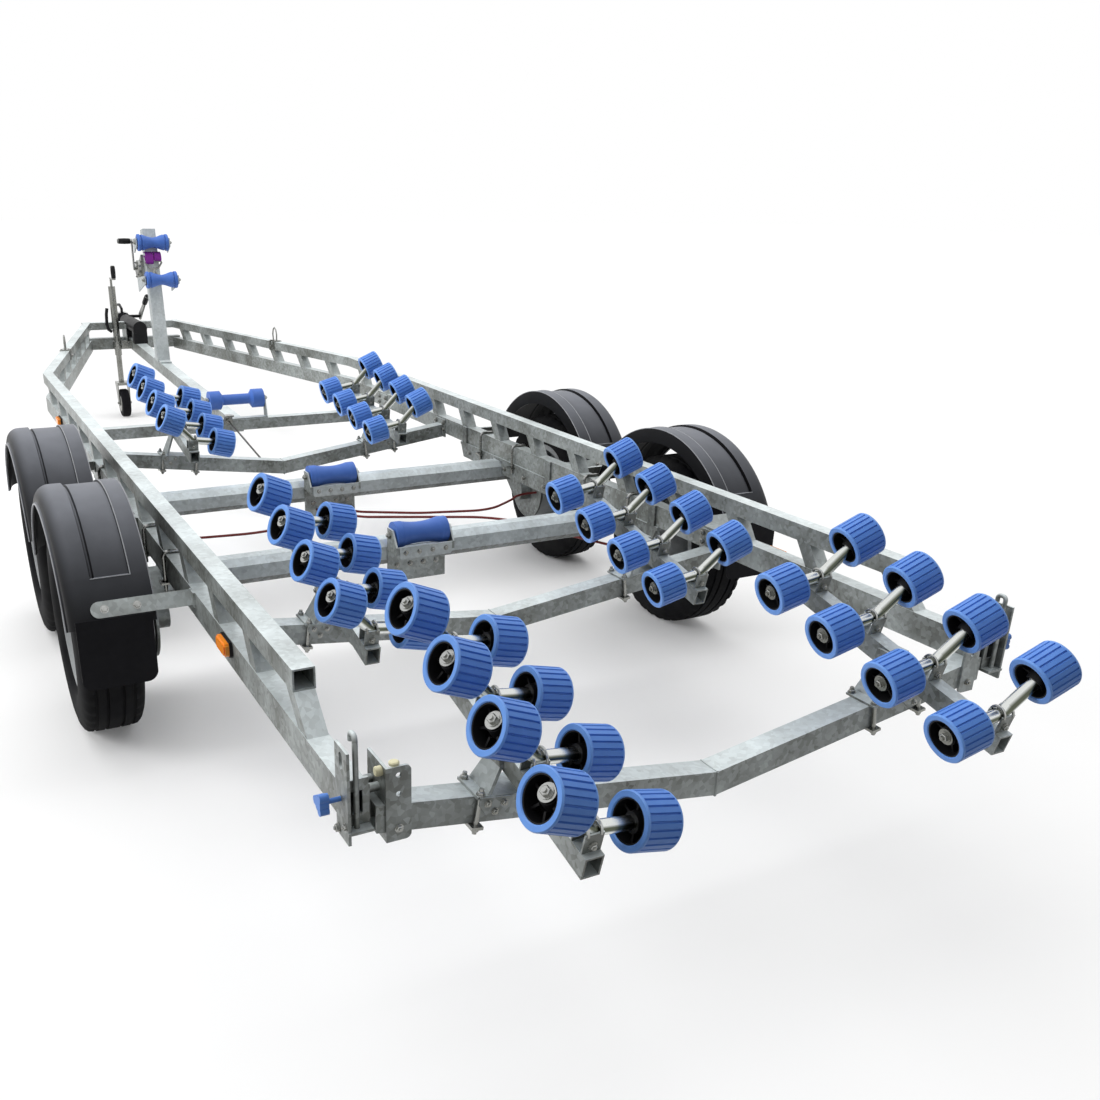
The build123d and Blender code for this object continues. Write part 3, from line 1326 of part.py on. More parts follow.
fork_in = JOCKEY_WHEEL_WIDTH / 2 + RUN_CLEARANCE
fork_out = fork_in + PLATE
jockey_hub = (JOCKEY_X - JOCKEY_TRAIL, JOCKEY_WHEEL_RADIUS)
fork_side = [
    (JOCKEY_X + JOCKEY_FORK_TOP, stem_foot - SEAT_GAP),
    (jockey_hub[0] - JOCKEY_FORK_TOP, stem_foot - SEAT_GAP),
    (jockey_hub[0] - JOCKEY_FORK_TIP, jockey_hub[1] - JOCKEY_FORK_TIP),
    (jockey_hub[0] + JOCKEY_FORK_TIP, jockey_hub[1] - JOCKEY_FORK_TIP),
]
with BuildPart() as jockey_fork:
    with BuildSketch(Plane.XY.offset(fork_top)):
        with Locations((JOCKEY_X - JOCKEY_TRAIL / 2, JOCKEY_Y)):
            Rectangle(JOCKEY_TRAIL + 2 * JOCKEY_FORK_TOP, 2 * fork_out)
    extrude(amount=JOCKEY_CROWN - SEAT_GAP)
    for outer_y in (JOCKEY_Y + fork_out, JOCKEY_Y - fork_in):
        add(polygon_plate(side_plane(outer_y), fork_side, PLATE))
    with BuildSketch(side_plane(JOCKEY_Y + fork_out + PIN_HEAD)):
        with Locations(jockey_hub):
            Circle(JOCKEY_PIN_RADIUS)
    extrude(amount=2 * (fork_out + PIN_HEAD))
pieces["jockey_fork"] = jockey_fork.part

with BuildPart() as jockey_wheel:
    with BuildSketch(side_plane(JOCKEY_Y + JOCKEY_WHEEL_WIDTH / 2)):
        with Locations(jockey_hub):
            Circle(JOCKEY_WHEEL_RADIUS)
            Circle(JOCKEY_PIN_RADIUS + PIN_CLEARANCE, mode=Mode.SUBTRACT)
    extrude(amount=JOCKEY_WHEEL_WIDTH)
    fillet(jockey_wheel.edges().filter_by(GeomType.CIRCLE).sort_by(SortBy.RADIUS)[-2:], JOCKEY_WHEEL_ROUND)
pieces["jockey_wheel"] = jockey_wheel.part

# Lamp board holders: a strap on the rail's outside, a shelf under it, an upright clamp and a hooked rod
holder_front = LOW_RAIL_REAR_X + HOLDER_LAP
holder_rear = LOW_RAIL_REAR_X - HOLDER_REACH
holder_low = low_rail_bottom + HOLDER_LOW
holder_high = low_rail_bottom + HOLDER_HIGH
strap_rear = LOW_RAIL_REAR_X - HOLDER_LAP
clamp_rear = LOW_RAIL_REAR_X - HOLDER_CLAMP_GAP - PLATE
rod_x = holder_rear + HOLDER_ROD_INSET
rod_y = rail_outer - HOLDER_ROD_INSET
rod_top = low_rail_bottom + HOLDER_ROD_HEIGHT
with BuildPart() as lamp_holder:
    with BuildSketch(side_plane(rail_outer + PLATE)):
        with Locations(((strap_rear + holder_front) / 2, (holder_low + holder_high) / 2)):
            Rectangle(holder_front - strap_rear, holder_high - holder_low)
        with Locations(((strap_rear + holder_front) / 2, holder_high - HOLDER_SLOT_DROP)):
            SlotOverall(HOLDER_SLOT_LENGTH, HOLDER_SLOT_WIDTH, rotation=90, mode=Mode.SUBTRACT)
    extrude(amount=PLATE)
    with BuildSketch(Plane.XY.offset(low_rail_bottom - PLATE)):
        with Locations(((holder_front + holder_rear) / 2, RAIL_Y + PLATE)):
            Rectangle(holder_front - holder_rear, RAIL_WIDTH)
    extrude(amount=PLATE)
    with BuildSketch(Plane.YZ.offset(clamp_rear)):
        with Locations((RAIL_Y + PLATE, low_rail_bottom + HOLDER_CLAMP_HEIGHT / 2)):
            Rectangle(RAIL_WIDTH, HOLDER_CLAMP_HEIGHT)
            Rectangle(RAIL_WIDTH / 2, HOLDER_CLAMP_HEIGHT / 2, mode=Mode.SUBTRACT)
    extrude(amount=PLATE)
    with BuildLine():
        FilletPolyline(
            (rod_x, rod_y, low_rail_bottom - PLATE),
            (rod_x, rod_y, rod_top),
            (rod_x + HOLDER_HOOK, rod_y, rod_top),
            (rod_x + HOLDER_HOOK, rod_y, rod_top - HOLDER_HOOK_DROP),
            radius=HOLDER_HOOK_BEND,
        )
    with BuildSketch(Plane.XY.offset(low_rail_bottom - PLATE)):
        with Locations((rod_x, rod_y)):
            Circle(HOLDER_ROD_RADIUS)
    sweep()
pieces["lamp_holders"] = both_sides(lamp_holder.part)

knob_place = (LOW_RAIL_REAR_X + KNOB_AHEAD, low_rail_bottom + KNOB_RISE)
with BuildPart() as wing_knob:
    with BuildSketch(side_plane(rail_outer + PLATE)):
        with Locations(knob_place):
            Circle(KNOB_STEM_RADIUS)
    extrude(amount=-KNOB_STEM)
    with BuildSketch(side_plane(rail_outer + PLATE + KNOB_STEM)):
        with Locations(knob_place):
            with PolarLocations(KNOB_SPREAD, 3):
                Circle(KNOB_LOBE)
            Circle(KNOB_SPREAD)
    extrude(amount=-KNOB_DEPTH)
pieces["wing_knobs"] = both_sides(wing_knob.part)

# Side markers on the lower rails
with BuildPart() as marker:
    for marker_x in MARKER_PLACES:
        with BuildSketch(side_plane(rail_outer)):
            with Locations((marker_x, low_rail_bottom + MARKER_RISE)):
                Rectangle(MARKER_LENGTH, MARKER_HEIGHT)
        extrude(amount=-MARKER_DEPTH)
pieces["side_markers"] = both_sides(marker.part)

# Brake cables
cable_z = wheel_z + CABLE_RISE
cable_start_x = AXLE_FRONT_X - AXLE_SIZE / 2 - PLATE - SEAT_GAP


def bend_radii(points):
    """The largest bend at each inner point: it leaves part of each leg and the ends straight."""
    corners = [Vector(*point) for point in points]
    legs = [after - before for before, after in zip(corners, corners[1:])]
    room = [leg.length * CABLE_BEND_SHARE for leg in legs]
    room[0] = room[-1] = CABLE_LEAD - CABLE_STRAIGHT
    radii = []
    for number in range(len(legs) - 1):
        turn = radians(legs[number].get_angle(legs[number + 1]))
        radii.append(min(CABLE_BEND_MAX, min(room[number], room[number + 1]) / tan(turn / 2)))
    return radii


def brake_cable(axle, side, start, way, bends):
    """One sheathed cable, from the middle of the front axle to a brake's back plate."""
    end_x = wheel_places[axle] + way * CABLE_END
    end_y = arm_outer_y - SEAT_GAP
    points = [(cable_start_x, side * start, cable_z), (cable_start_x - CABLE_LEAD, side * start, cable_z)]
    points += [(AXLE_FRONT_X - behind, side * across, cable_z) for behind, across in bends]
    points += [(end_x, side * (end_y - CABLE_LEAD), cable_z), (end_x, side * end_y, cable_z)]
    with BuildPart() as cable:
        with BuildLine():
            FilletPolyline(*points, radius=bend_radii(points))
        with BuildSketch(Plane(origin=points[0], z_dir=(-1, 0, 0))):
            Circle(CABLE_RADIUS)
        sweep()
    return cable.part


pieces["brake_cables"] = gathered([brake_cable(*row) for row in BRAKE_CABLES.values()])

# The origin lies half way along the finished trailer
boxes = [part.bounding_box() for part in pieces.values()]
rear_end = min(box.min.X for box in boxes)
front_end = max(box.max.X for box in boxes)
to_origin = Location((-(rear_end + front_end) / 2, 0, 0))

os.makedirs("parts", exist_ok=True)
for name, part in pieces.items():
    placed = part.moved(to_origin)
    placed.label = name
    export_step(placed, "parts/" + name + ".step")
print(len(pieces), "nodes, moved by", round(to_origin.position.X, 3))
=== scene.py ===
"""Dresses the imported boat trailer: procedural finishes, ribbed rollers, treads, guards and fasteners.

Metres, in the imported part's own frame: +X forward to the coupling, +Y to the left, +Z up.
"""
import json
from math import atan2, cos, pi, radians, sin, tau

import bmesh
import bpy
from mathutils import Matrix, Vector


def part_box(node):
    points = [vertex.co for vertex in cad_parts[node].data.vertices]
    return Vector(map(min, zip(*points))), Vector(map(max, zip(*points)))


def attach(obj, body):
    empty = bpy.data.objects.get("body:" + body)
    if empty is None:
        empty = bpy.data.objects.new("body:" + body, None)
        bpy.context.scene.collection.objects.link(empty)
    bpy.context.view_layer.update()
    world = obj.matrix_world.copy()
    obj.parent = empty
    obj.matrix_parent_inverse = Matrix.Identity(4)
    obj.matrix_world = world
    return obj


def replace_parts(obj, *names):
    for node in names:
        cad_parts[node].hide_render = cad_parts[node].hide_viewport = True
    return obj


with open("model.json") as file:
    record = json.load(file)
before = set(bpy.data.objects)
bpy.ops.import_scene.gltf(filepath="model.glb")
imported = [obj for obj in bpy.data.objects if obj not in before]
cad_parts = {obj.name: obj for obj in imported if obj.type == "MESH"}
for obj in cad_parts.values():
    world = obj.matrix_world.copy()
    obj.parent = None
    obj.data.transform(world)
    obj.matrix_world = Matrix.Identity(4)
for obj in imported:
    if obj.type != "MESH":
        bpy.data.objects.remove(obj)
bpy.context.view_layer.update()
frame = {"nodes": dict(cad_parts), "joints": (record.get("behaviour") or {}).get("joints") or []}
nodes = frame["nodes"]
joints = {row["name"]: row for row in frame["joints"]}


# Side frames, cross-members and drawbar
# Square and rectangular steel tubes, welded, then dipped whole in zinc, so every face carries the
# same soft spangle with duller grey patches. Flange plates bolt the cross-members to the rails.
class Wire:
    """A shader socket that adds, subtracts and multiplies into math nodes."""

    def __init__(self, tree, socket=None):
        self.tree = tree
        self.socket = socket

    def node(self, kind, settings=None, output=0, **links):
        """A new node: settings first, then socket values or wires by name or as in0, in1."""
        made = self.tree.nodes.new("ShaderNode" + kind)
        for key, value in (settings or {}).items():
            setattr(made, key, value)
        for key, value in links.items():
            number = key[2:]
            socket = made.inputs[int(number)] if number.isdigit() else made.inputs[key.replace("_", " ")]
            if isinstance(value, Wire):
                self.tree.links.new(value.socket, socket)
            else:
                socket.default_value = value
        return Wire(self.tree, made.outputs[output])

    def math(self, operation, first, second):
        return self.node("Math", {"operation": operation}, in0=first, in1=second)

    def __add__(self, other):
        return self.math("ADD", self, other)

    def __radd__(self, other):
        return self.math("ADD", other, self)

    def __sub__(self, other):
        return self.math("SUBTRACT", self, other)

    def __rsub__(self, other):
        return self.math("SUBTRACT", other, self)

    def __mul__(self, other):
        return self.math("MULTIPLY", self, other)

    def __rmul__(self, other):
        return self.math("MULTIPLY", other, self)

    def step(self, low, high):
        """Nought below low, one above high."""
        return self.node("MapRange", None, 0, Value=self, From_Min=low, From_Max=high)

    def colours(self, first, second):
        """From one colour to another as the wire goes from 0 to 1."""
        return self.node("Mix", {"data_type": "RGBA"}, 2, in0=self, in6=first, in7=second)

    def to(self, shader, name):
        self.tree.links.new(self.socket, shader.inputs[name])


def new_material(name, metallic=0.0, specular=0.5):
    """A principled material, its shader, and a wire with the surface's own coordinates."""
    material = bpy.data.materials.new(name)
    material.use_nodes = True
    shader = material.node_tree.nodes["Principled BSDF"]
    shader.inputs["Metallic"].default_value = metallic
    shader.inputs["Specular IOR Level"].default_value = specular
    place = Wire(material.node_tree).node("TexCoord", output=3)
    return material, shader, place


def noise(place, scale, detail=3.0, stretch=None):
    """Cloudy noise on the surface, drawn out along an axis where stretch says so."""
    if stretch:
        place = place.node("Mapping", None, 0, Vector=place, Scale=stretch)
    return place.node("TexNoise", None, 0, Vector=place, Scale=scale, Detail=detail)


def bumped(place, height, shader, strength, distance):
    """Feeds a height to the shader's normal."""
    wire = place.node("Bump", None, 0, Height=height, Strength=strength, Distance=distance)
    wire.to(shader, "Normal")


def upward(place):
    """How far the surface looks up: 1 on top faces, 0 on upright ones, -1 below."""
    return place.node("SeparateXYZ", None, 2, Vector=place.node("NewGeometry", output=1))


def galvanised_finish(name, shade, painted_lit_colour, rough, low=-0.25, high=0.95):
    """Hot-dip zinc: crystals a few millimetres wide and dull clouds, with painted light: upper faces take the
    pale lit colour, faces turned from the top the darker painted shade.
    """
    material, shader, place = new_material(name, metallic=0.40)
    crystal = place.node("TexVoronoi", {"feature": "F1"}, 1, Vector=place, Scale=85.0)
    spangle = place.node("RGBToBW", None, 0, Color=crystal)
    cloud = noise(place, 7.0, 5.0)
    runs = noise(place, 5.0, 4.0, (1.0, 1.0, 0.18))
    tone = spangle * 0.22 + cloud * 0.65 + runs * 0.35 - 0.60
    # Painted light and shade: faces that look up move towards the pale lit colour, the others stay in the shade
    # colour.
    painted_top_light = upward(place).step(low, high) * 0.72
    (painted_top_light + tone).step(0.0, 1.0).colours(shade, painted_lit_colour).to(shader, "Base Color")
    (rough + cloud * 0.22 - spangle * 0.10).to(shader, "Roughness")
    bumped(place, spangle * 0.4 + noise(place, 30.0), shader, 0.12, 0.002)
    return material


galvanised = galvanised_finish("galvanised", (0.118, 0.124, 0.112, 1), (0.78, 0.85, 0.86, 1), 0.36)
dull_zinc = galvanised_finish("galvanised_dull", (0.088, 0.094, 0.086, 1), (0.66, 0.72, 0.73, 1), 0.42)


def wear(material, *names):
    """Gives CAD nodes a finish."""
    for name in names:
        slots = nodes[name].data.materials
        slots.clear()
        slots.append(material)


wear(galvanised, "side_rails", "front_rails", "cross_members", "drawbar")


class Shape:
    """Gathers the points and faces of one piece."""

    def __init__(self):
        self.points = []
        self.faces = []

    def add(self, points, faces, place=Matrix()):
        base = len(self.points)
        self.points += [place @ Vector(point) for point in points]
        turn = place.determinant() < 0
        for face in faces:
            row = [base + corner for corner in face]
            self.faces.append(row[::-1] if turn else row)

    def grid(self, rows, place=Matrix(), round_rows=False, round_across=False):
        """A skin over rows of points; either way may close on itself."""
        across = len(rows[0])
        faces = []
        for row in range(len(rows) - (not round_rows)):
            here, there = row * across, (row + 1) % len(rows) * across
            for column in range(across - (not round_across)):
                beside = (column + 1) % across
                faces.append((here + column, here + beside, there + beside, there + column))
        self.add([point for row in rows for point in row], faces, place)

    def turned(self, profile, place, steps=24, ring=False, relief=None):
        """A profile of (radius, height) turned about the place's Z; ring closes the profile."""
        rows = []
        for step in range(steps):
            angle = tau * step / steps
            row = []
            for number, (radius, height) in enumerate(profile):
                out = radius + (relief(step, number) if relief else 0.0)
                row.append((out * cos(angle), out * sin(angle), height))
            rows.append(row)
        self.grid(rows, place, True, ring)

    def prism(self, outline, low, high, place=Matrix()):
        """A flat outline given thickness along the place's Z."""
        count = len(outline)
        points = [(x, y, low) for x, y in outline] + [(x, y, high) for x, y in outline]
        faces = [tuple(reversed(range(count))), tuple(range(count, 2 * count))]
        faces += [(n, (n + 1) % count, count + (n + 1) % count, count + n) for n in range(count)]
        self.add(points, faces, place)

    def block(self, size, place=Matrix()):
        x, y, z = (side / 2 for side in size)
        self.prism([(-x, -y), (x, -y), (x, y), (-x, y)], -z, z, place)

    def rod(self, path, radius, sides=10, round_path=False):
        """A round rod along points, with flat ends."""
        path = [Vector(point) for point in path]
        count = len(path)
        side = None
        rows = []
        for number, point in enumerate(path):
            before = path[number - 1] if number or round_path else point
            after = path[(number + 1) % count] if number < count - 1 or round_path else point
            along = (after - before).normalized()
            if side is None:
                side = along.orthogonal().normalized()
            side = (side - along * side.dot(along)).normalized()
            other = along.cross(side)
            angles = [tau * step / sides for step in range(sides)]
            rows.append([point + side * radius * cos(a) + other * radius * sin(a) for a in angles])
        first = len(self.points)
        self.grid(rows, Matrix(), round_path, True)
        if not round_path:
            last = first + (count - 1) * sides
            self.faces.append([first + step for step in range(sides)])
            self.faces.append([last + step for step in reversed(range(sides))])

    def piece(self, name, material, body, slot, sharp=35.0):
        """The finished object, riding its body."""
        mesh = bpy.data.meshes.new(name)
        mesh.from_pydata(self.points, [], self.faces)
        form = bmesh.new()
        form.from_mesh(mesh)
        bmesh.ops.remove_doubles(form, verts=form.verts, dist=1e-6)
        bmesh.ops.recalc_face_normals(form, faces=form.faces)
        form.to_mesh(mesh)
        form.free()
        mesh.shade_smooth()
        mesh.set_sharp_from_angle(angle=radians(sharp))
        mesh.materials.append(material)
        made = bpy.data.objects.new(name, mesh)
        bpy.context.scene.collection.objects.link(made)
        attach(made, body)
        return made


def facing(origin, out, turn=0.0):
    """A place on a surface: its Z points out of it."""
    spin = Vector(out).to_track_quat("Z", "Y").to_matrix().to_4x4()
    return Matrix.Translation(origin) @ spin @ Matrix.Rotation(turn, 4, "Z")


def pin(name):
    """The centre of a joint."""
    return Vector(joints[name]["pos_m"])


def bolt(shape, place, size):
    """A hexagon head on a washer, with a little of the thread beyond it."""
    washer, across, thread = size * 1.15, size * 0.88, size * 0.42
    shape.turned([(0, size * 0.16), (washer, size * 0.16), (washer, 0), (0, 0)], place, 16)
    head = [(0, size * 0.85), (size * 0.75, size * 0.85), (across, size * 0.74), (across, 0), (0, 0)]
    shape.turned(head, place, 6)
    shape.turned([(0, size * 1.15), (thread, size * 1.15), (thread, 0), (0, 0)], place, 10)


# Bright zinc with painted light: faces that look up take the pale colour and the others the dark one, as light
# from above would, broken by streaks and film.
zinc, shader, place = new_material("bright_zinc", metallic=1.0)
film = noise(place, 40.0, 4.0)
streak = noise(place, 9.0, 3.0, (0.3, 1.0, 1.0))
zinc_painted_light = (upward(place) + streak * 0.7 - 0.35).step(-0.15, 0.75) * 0.85 + film * 0.25
zinc_painted_light.step(0.05, 1.0).colours((0.18, 0.18, 0.16, 1), (0.52, 0.53, 0.52, 1)).to(shader, "Base Color")
(0.20 + noise(place, 90.0) * 0.16).to(shader, "Roughness")

rails_low, rails_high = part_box("side_rails")
rail_width, flange_skin, flange_bolt = 0.050, 0.006, 0.011
rail_inner = rails_high.y - rail_width
flange_y = rail_inner - flange_skin
keel_behind = 0.020
member_x = [joints["roller_beam_%s_left_rock" % name]["pos_m"][0] for name in ("front", "mid")]
member_x.append(joints["keel_roller_front_spin"]["pos_m"][0] - keel_behind)
frame_bolts = Shape()
for x in member_x:
    for side in (1, -1):
        for along in (-0.042, 0.042):
            for up in (0.022, 0.052):
                spot = (x + along, side * flange_y, rails_low.z + up)
                bolt(frame_bolts, facing(spot, (0, -side, 0)), flange_bolt)
frame_bolts.piece("frame_bolts", zinc, "frame", "bright_zinc")

# Rail clips
# Small clamps on the upper rails near the winch, each two straps under a plate with a bow of spring
# wire on top, for the boat's lashings.
front_low, front_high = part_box("front_rails")
clip_behind_nose, clip_wire, clip_bolt = 1.428, 0.0045, 0.010
rail_nose_y, rail_bend_y = 0.320, rails_high.y - 0.025
rail_draw_in = (rail_bend_y - rail_nose_y) / (front_high.x - front_low.x)
clip_x = front_high.x - clip_behind_nose
rail_middle = 0.025
strap_size, clip_plate, plate_rise = (0.016, 0.060, 0.060), (0.070, 0.034, 0.006), 0.030
clip_bolt_out, clip_bolt_up = 0.031, -0.004
# (along the rail, up)
wire_bow = [
    (-0.020, 0.030), (-0.024, 0.070), (-0.016, 0.098), (0.0, 0.112),
    (0.016, 0.098), (0.024, 0.070), (0.020, 0.030),
]
clips = Shape()
for side in (1, -1):
    y = side * (rail_nose_y + rail_draw_in * clip_behind_nose)
    turn = Matrix.Rotation(-side * atan2(rail_draw_in, 1.0), 4, "Z")
    seat = Matrix.Translation((clip_x, y, front_high.z - rail_middle)) @ turn
    for along in (-0.022, 0.022):
        clips.block(strap_size, seat @ Matrix.Translation((along, 0, 0)))
    clips.block(clip_plate, seat @ Matrix.Translation((0, 0, plate_rise)))
    clips.rod([seat @ Vector((x, 0, z)) for x, z in wire_bow], clip_wire, 10)
    bolt(clips, seat @ facing((0, -side * clip_bolt_out, clip_bolt_up), (0, -side, 0)), clip_bolt)
clips.piece("rail_clips", zinc, "frame", "galvanised")

# Axles and their seats
# Rubber-sprung square axle tubes under angles, which U-bolts and straps clamp below the rails. The
# cast trailing arms and brake back plates are dull grey from the dip.
# Painted light on the axle: the upward bounds sit low, so rear faces take the pale lit colour and the lower
# chamfer the dark painted shade.
axle_shade, axle_painted_lit_colour = (0.090, 0.096, 0.088, 1), (0.68, 0.75, 0.78, 1)
axle_zinc = galvanised_finish("galvanised_axle", axle_shade, axle_painted_lit_colour, 0.40, -0.80, 0.45)
wear(axle_zinc, "axle_beams")
wear(dull_zinc, "axle_seats", "suspension_arms")
seat_low, seat_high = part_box("axle_seats")
seat_bolts = Shape()
seat_bolt_rows, seat_bolt, seat_margin, seat_skin = 9, 0.010, 0.10, 0.008
for side in (1, -1):
    for number in range(seat_bolt_rows):
        run = (seat_high.x - seat_low.x - 2 * seat_margin) * number / (seat_bolt_rows - 1)
        spot = (seat_low.x + seat_margin + run, side * (rail_inner - seat_skin), seat_low.z + 0.030)
        bolt(seat_bolts, facing(spot, (0, -side, 0)), seat_bolt)
seat_bolts.piece("seat_bolts", zinc, "frame", "bright_zinc")
u_bolts = Shape()
u_radius, u_corner, u_inner, u_outer = 0.006, 0.018, rail_inner - 0.014, rails_high.y + 0.007
low_rail_top, seat_plate = rails_low.z + 0.075, rails_low.z - 0.012
u_top, u_end, u_nut, u_bar = low_rail_top + u_radius, 0.030, 0.011, 0.006
corner_turns = [pi / 2 * step / 6 for step in range(7)]
u_path = [(u_outer, seat_plate - u_end)]
for turn in corner_turns:
    u_path.append((u_outer - u_corner * (1 - cos(turn)), u_top - u_corner * (1 - sin(turn))))
for turn in corner_turns:
    u_path.append((u_inner + u_corner * (1 - sin(turn)), u_top - u_corner * (1 - cos(turn))))
u_path.append((u_inner, seat_plate - u_end))
axle_low, axle_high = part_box("axle_beams")
axle_half = 0.045
for side in (1, -1):
    for axle in (axle_low.x + axle_half, axle_high.x - axle_half):
        for along in (-0.150, 0.150):
            u_bolts.rod([(axle + along, side * y, z) for y, z in u_path], u_radius, 10)
            for y in (u_inner, u_outer):
                bolt(u_bolts, facing((axle + along, side * y, seat_plate), (0, 0, -1)), u_nut)
            middle = (axle + along, side * (u_inner + u_outer) / 2, seat_plate - u_bar / 2)
            u_bolts.block((0.040, u_outer - u_inner + 0.032, u_bar), Matrix.Translation(middle))
u_bolts.piece("seat_u_bolts", zinc, "frame", "bright_zinc")


# Wheels
# Pressed steel rims in silver paint with five nuts and a grease cap, on 650 mm road tyres with
# grooves round the tread, blocks at the shoulders and a plain side wall.
def mottled_finish(name, dark, light, patches, rough, grain=False, **surface):
    """Two close shades in patches (scale, detail) and a roughness (level, scale, spread)."""
    material, shader, place = new_material(name, **surface)
    noise(place, *patches).colours((*dark, 1), (*light, 1)).to(shader, "Base Color")
    level, scale, spread = rough
    (level + noise(place, scale) * spread).to(shader, "Roughness")
    if grain:
        bumped(place, noise(place, 380.0, 1.0), shader, 0.06, 0.0005)
    return material


rim_paint = mottled_finish(
    "rim_paint", (0.27, 0.285, 0.29), (0.38, 0.395, 0.40), (120.0,), (0.30, 14.0, 0.2), metallic=0.35)
rubber, shader, place = new_material("tyre_rubber", specular=0.07)
dust = noise(place, 9.0, 6.0)
dust.step(0.35, 0.8).colours((0.004, 0.004, 0.005, 1), (0.018, 0.018, 0.018, 1)).to(shader, "Base Color")
(0.62 + dust * 0.25).to(shader, "Roughness")
bumped(place, noise(place, 260.0), shader, 0.15, 0.001)

# (radius, distance from the wheel's middle plane)
tread_side = [
    (0.1800, 0.062), (0.1950, 0.073), (0.2080, 0.0860), (0.2400, 0.0925), (0.2780, 0.0905), (0.3000, 0.0860),
    (0.3140, 0.0790), (0.3215, 0.0700), (0.3240, 0.0580), (0.3180, 0.0565), (0.3180, 0.0500), (0.3245, 0.0485),
    (0.3250, 0.0270), (0.3180, 0.0255), (0.3180, 0.0190), (0.3250, 0.0175),
]
tyre_profile = tread_side + [(radius, -height) for radius, height in reversed(tread_side)]
shoulder_rows = (6, 7, 8, 23, 24, 25)
shoulder_cut, block_steps, tyre_steps = 0.006, 3, 120


def tread_relief(step, number):
    """Cross grooves in the two shoulders."""
    return -shoulder_cut if step % block_steps == 0 and number in shoulder_rows else 0.0


wheel_nuts, nut_circle, nut_out, nut_size = 5, 0.056, 0.038, 0.012
grease_cap = [(0, 0.066), (0.024, 0.066), (0.030, 0.060), (0.031, 0.036), (0, 0.036)]
for name in ("fore_left", "fore_right", "aft_left", "aft_right"):
    body = "wheel_" + name
    hub = pin(body + "_spin")
    out = Vector((0, 1 if hub.y > 0 else -1, 0))
    tyre = Shape()
    tyre.turned(tyre_profile, facing(hub, out), tyre_steps, True, tread_relief)
    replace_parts(tyre.piece(body + "_tread", rubber, body, "tyre"), body + "_tyre")
    wear(rim_paint, body + "_rim")
    nuts = Shape()
    for number in range(wheel_nuts):
        turn = tau * number / wheel_nuts
        spot = hub + Vector((nut_circle * cos(turn), 0.0, nut_circle * sin(turn))) + out * nut_out
        bolt(nuts, facing(spot, out), nut_size)
    nuts.turned(grease_cap, facing(hub, out), 24)
    nuts.piece(body + "_nuts", zinc, body, "wheel_steel")

# Mudguards and flaps
# Black moulded plastic: a flat crown with a sunk panel, a round outer shoulder and a skirt. A painted sheen
# lightens the faces that look up, and pale grey rods along the edges are painted highlights. Flat galvanised
# strips carry both ends, and rubber flaps hang behind.
guard_plastic, shader, place = new_material("guard_plastic", specular=0.13)
scuff = noise(place, 12.0, 6.0)
# Painted sheen: a bluish grey that grows the more a face looks up, near black on the sides.
crown_sheen_mask = upward(place).step(0.20, 1.0)
painted_crown_sheen = crown_sheen_mask * crown_sheen_mask * (0.75 + scuff * 0.5)
painted_crown_sheen.colours((0.0040, 0.0040, 0.0048, 1), (0.155, 0.163, 0.184, 1)).to(shader, "Base Color")
(0.36 + scuff * 0.22).to(shader, "Roughness")
bumped(place, noise(place, 420.0, 1.0), shader, 0.08, 0.0006)
black_plastic, shader, place = new_material("black_plastic", specular=0.20)
scuff = noise(place, 30.0, 5.0)
scuff.colours((0.0025, 0.0025, 0.003, 1), (0.012, 0.012, 0.013, 1)).to(shader, "Base Color")
(0.34 + scuff * 0.22).to(shader, "Roughness")
black_rubber = mottled_finish(
    "black_rubber", (0.002, 0.002, 0.003), (0.009, 0.009, 0.011), (20.0, 5.0), (0.60, 60.0, 0.2), specular=0.12)
# Pale grey for thin rods along the guard's edges: painted highlights on the rolled lip, the crown's inner edge
# and the panel's edges.
edge_highlight_grey = mottled_finish(
    "guard_lip", (0.16, 0.165, 0.18), (0.34, 0.35, 0.37), (40.0,), (0.30, 25.0, 0.2), specular=0.4)

guard_radius, guard_skin = 0.445, 0.005
guard_end = radians(21.0)
guard_back, guard_drop = 0.012, 0.010
guard_steps = 48
panel_from, panel_to, panel_edge = 6.0, 44.0, 0.25
guard_stations = sorted([*range(guard_steps + 1), panel_from + panel_edge, panel_to - panel_edge])
crown_end, shoulder, shoulder_steps = 1.168, 0.042, 8
# (distance across, height over the crown, 1 where it is sunk within the panel only)
guard_section = [
    (0.980, -0.0540, 0), (0.980, -0.0050, 0), (0.982, -0.0010, 0), (0.986, 0.0000, 0), (1.031, 0.0000, 0),
    (1.034, -0.0060, 1), (1.124, -0.0060, 1), (1.128, -0.0110, 1), (1.133, -0.0110, 1), (1.136, 0.0000, 0),
    (crown_end, 0.0000, 0),
]
for step in range(1, shoulder_steps + 1):
    turn = pi / 2 * step / shoulder_steps
    guard_section.append((crown_end + shoulder * sin(turn), -shoulder * (1 - cos(turn)), 0))
guard_section += [(1.210, -0.0480, 0), (1.214, -0.0500, 0), (1.214, -0.0540, 0)]
# Rows of the section: the inner edge of the crown, and both edges of the panel
crown_row, panel_row, far_panel_row = 2, 4, 9
inner_side, guard_middle, outer_side, skirt_rise = 0.983, 1.1, 1.18, -0.046
# Radii of the painted highlight rods.
lip_wire, highlight_wire, end_highlight_wire = 0.0030, 0.0016, 0.0014


def guard_hub(name):
    """The centre that a guard is curved round."""
    hub = pin("wheel_%s_left_spin" % name)
    return Vector((hub.x - guard_back, 0, hub.z - guard_drop))


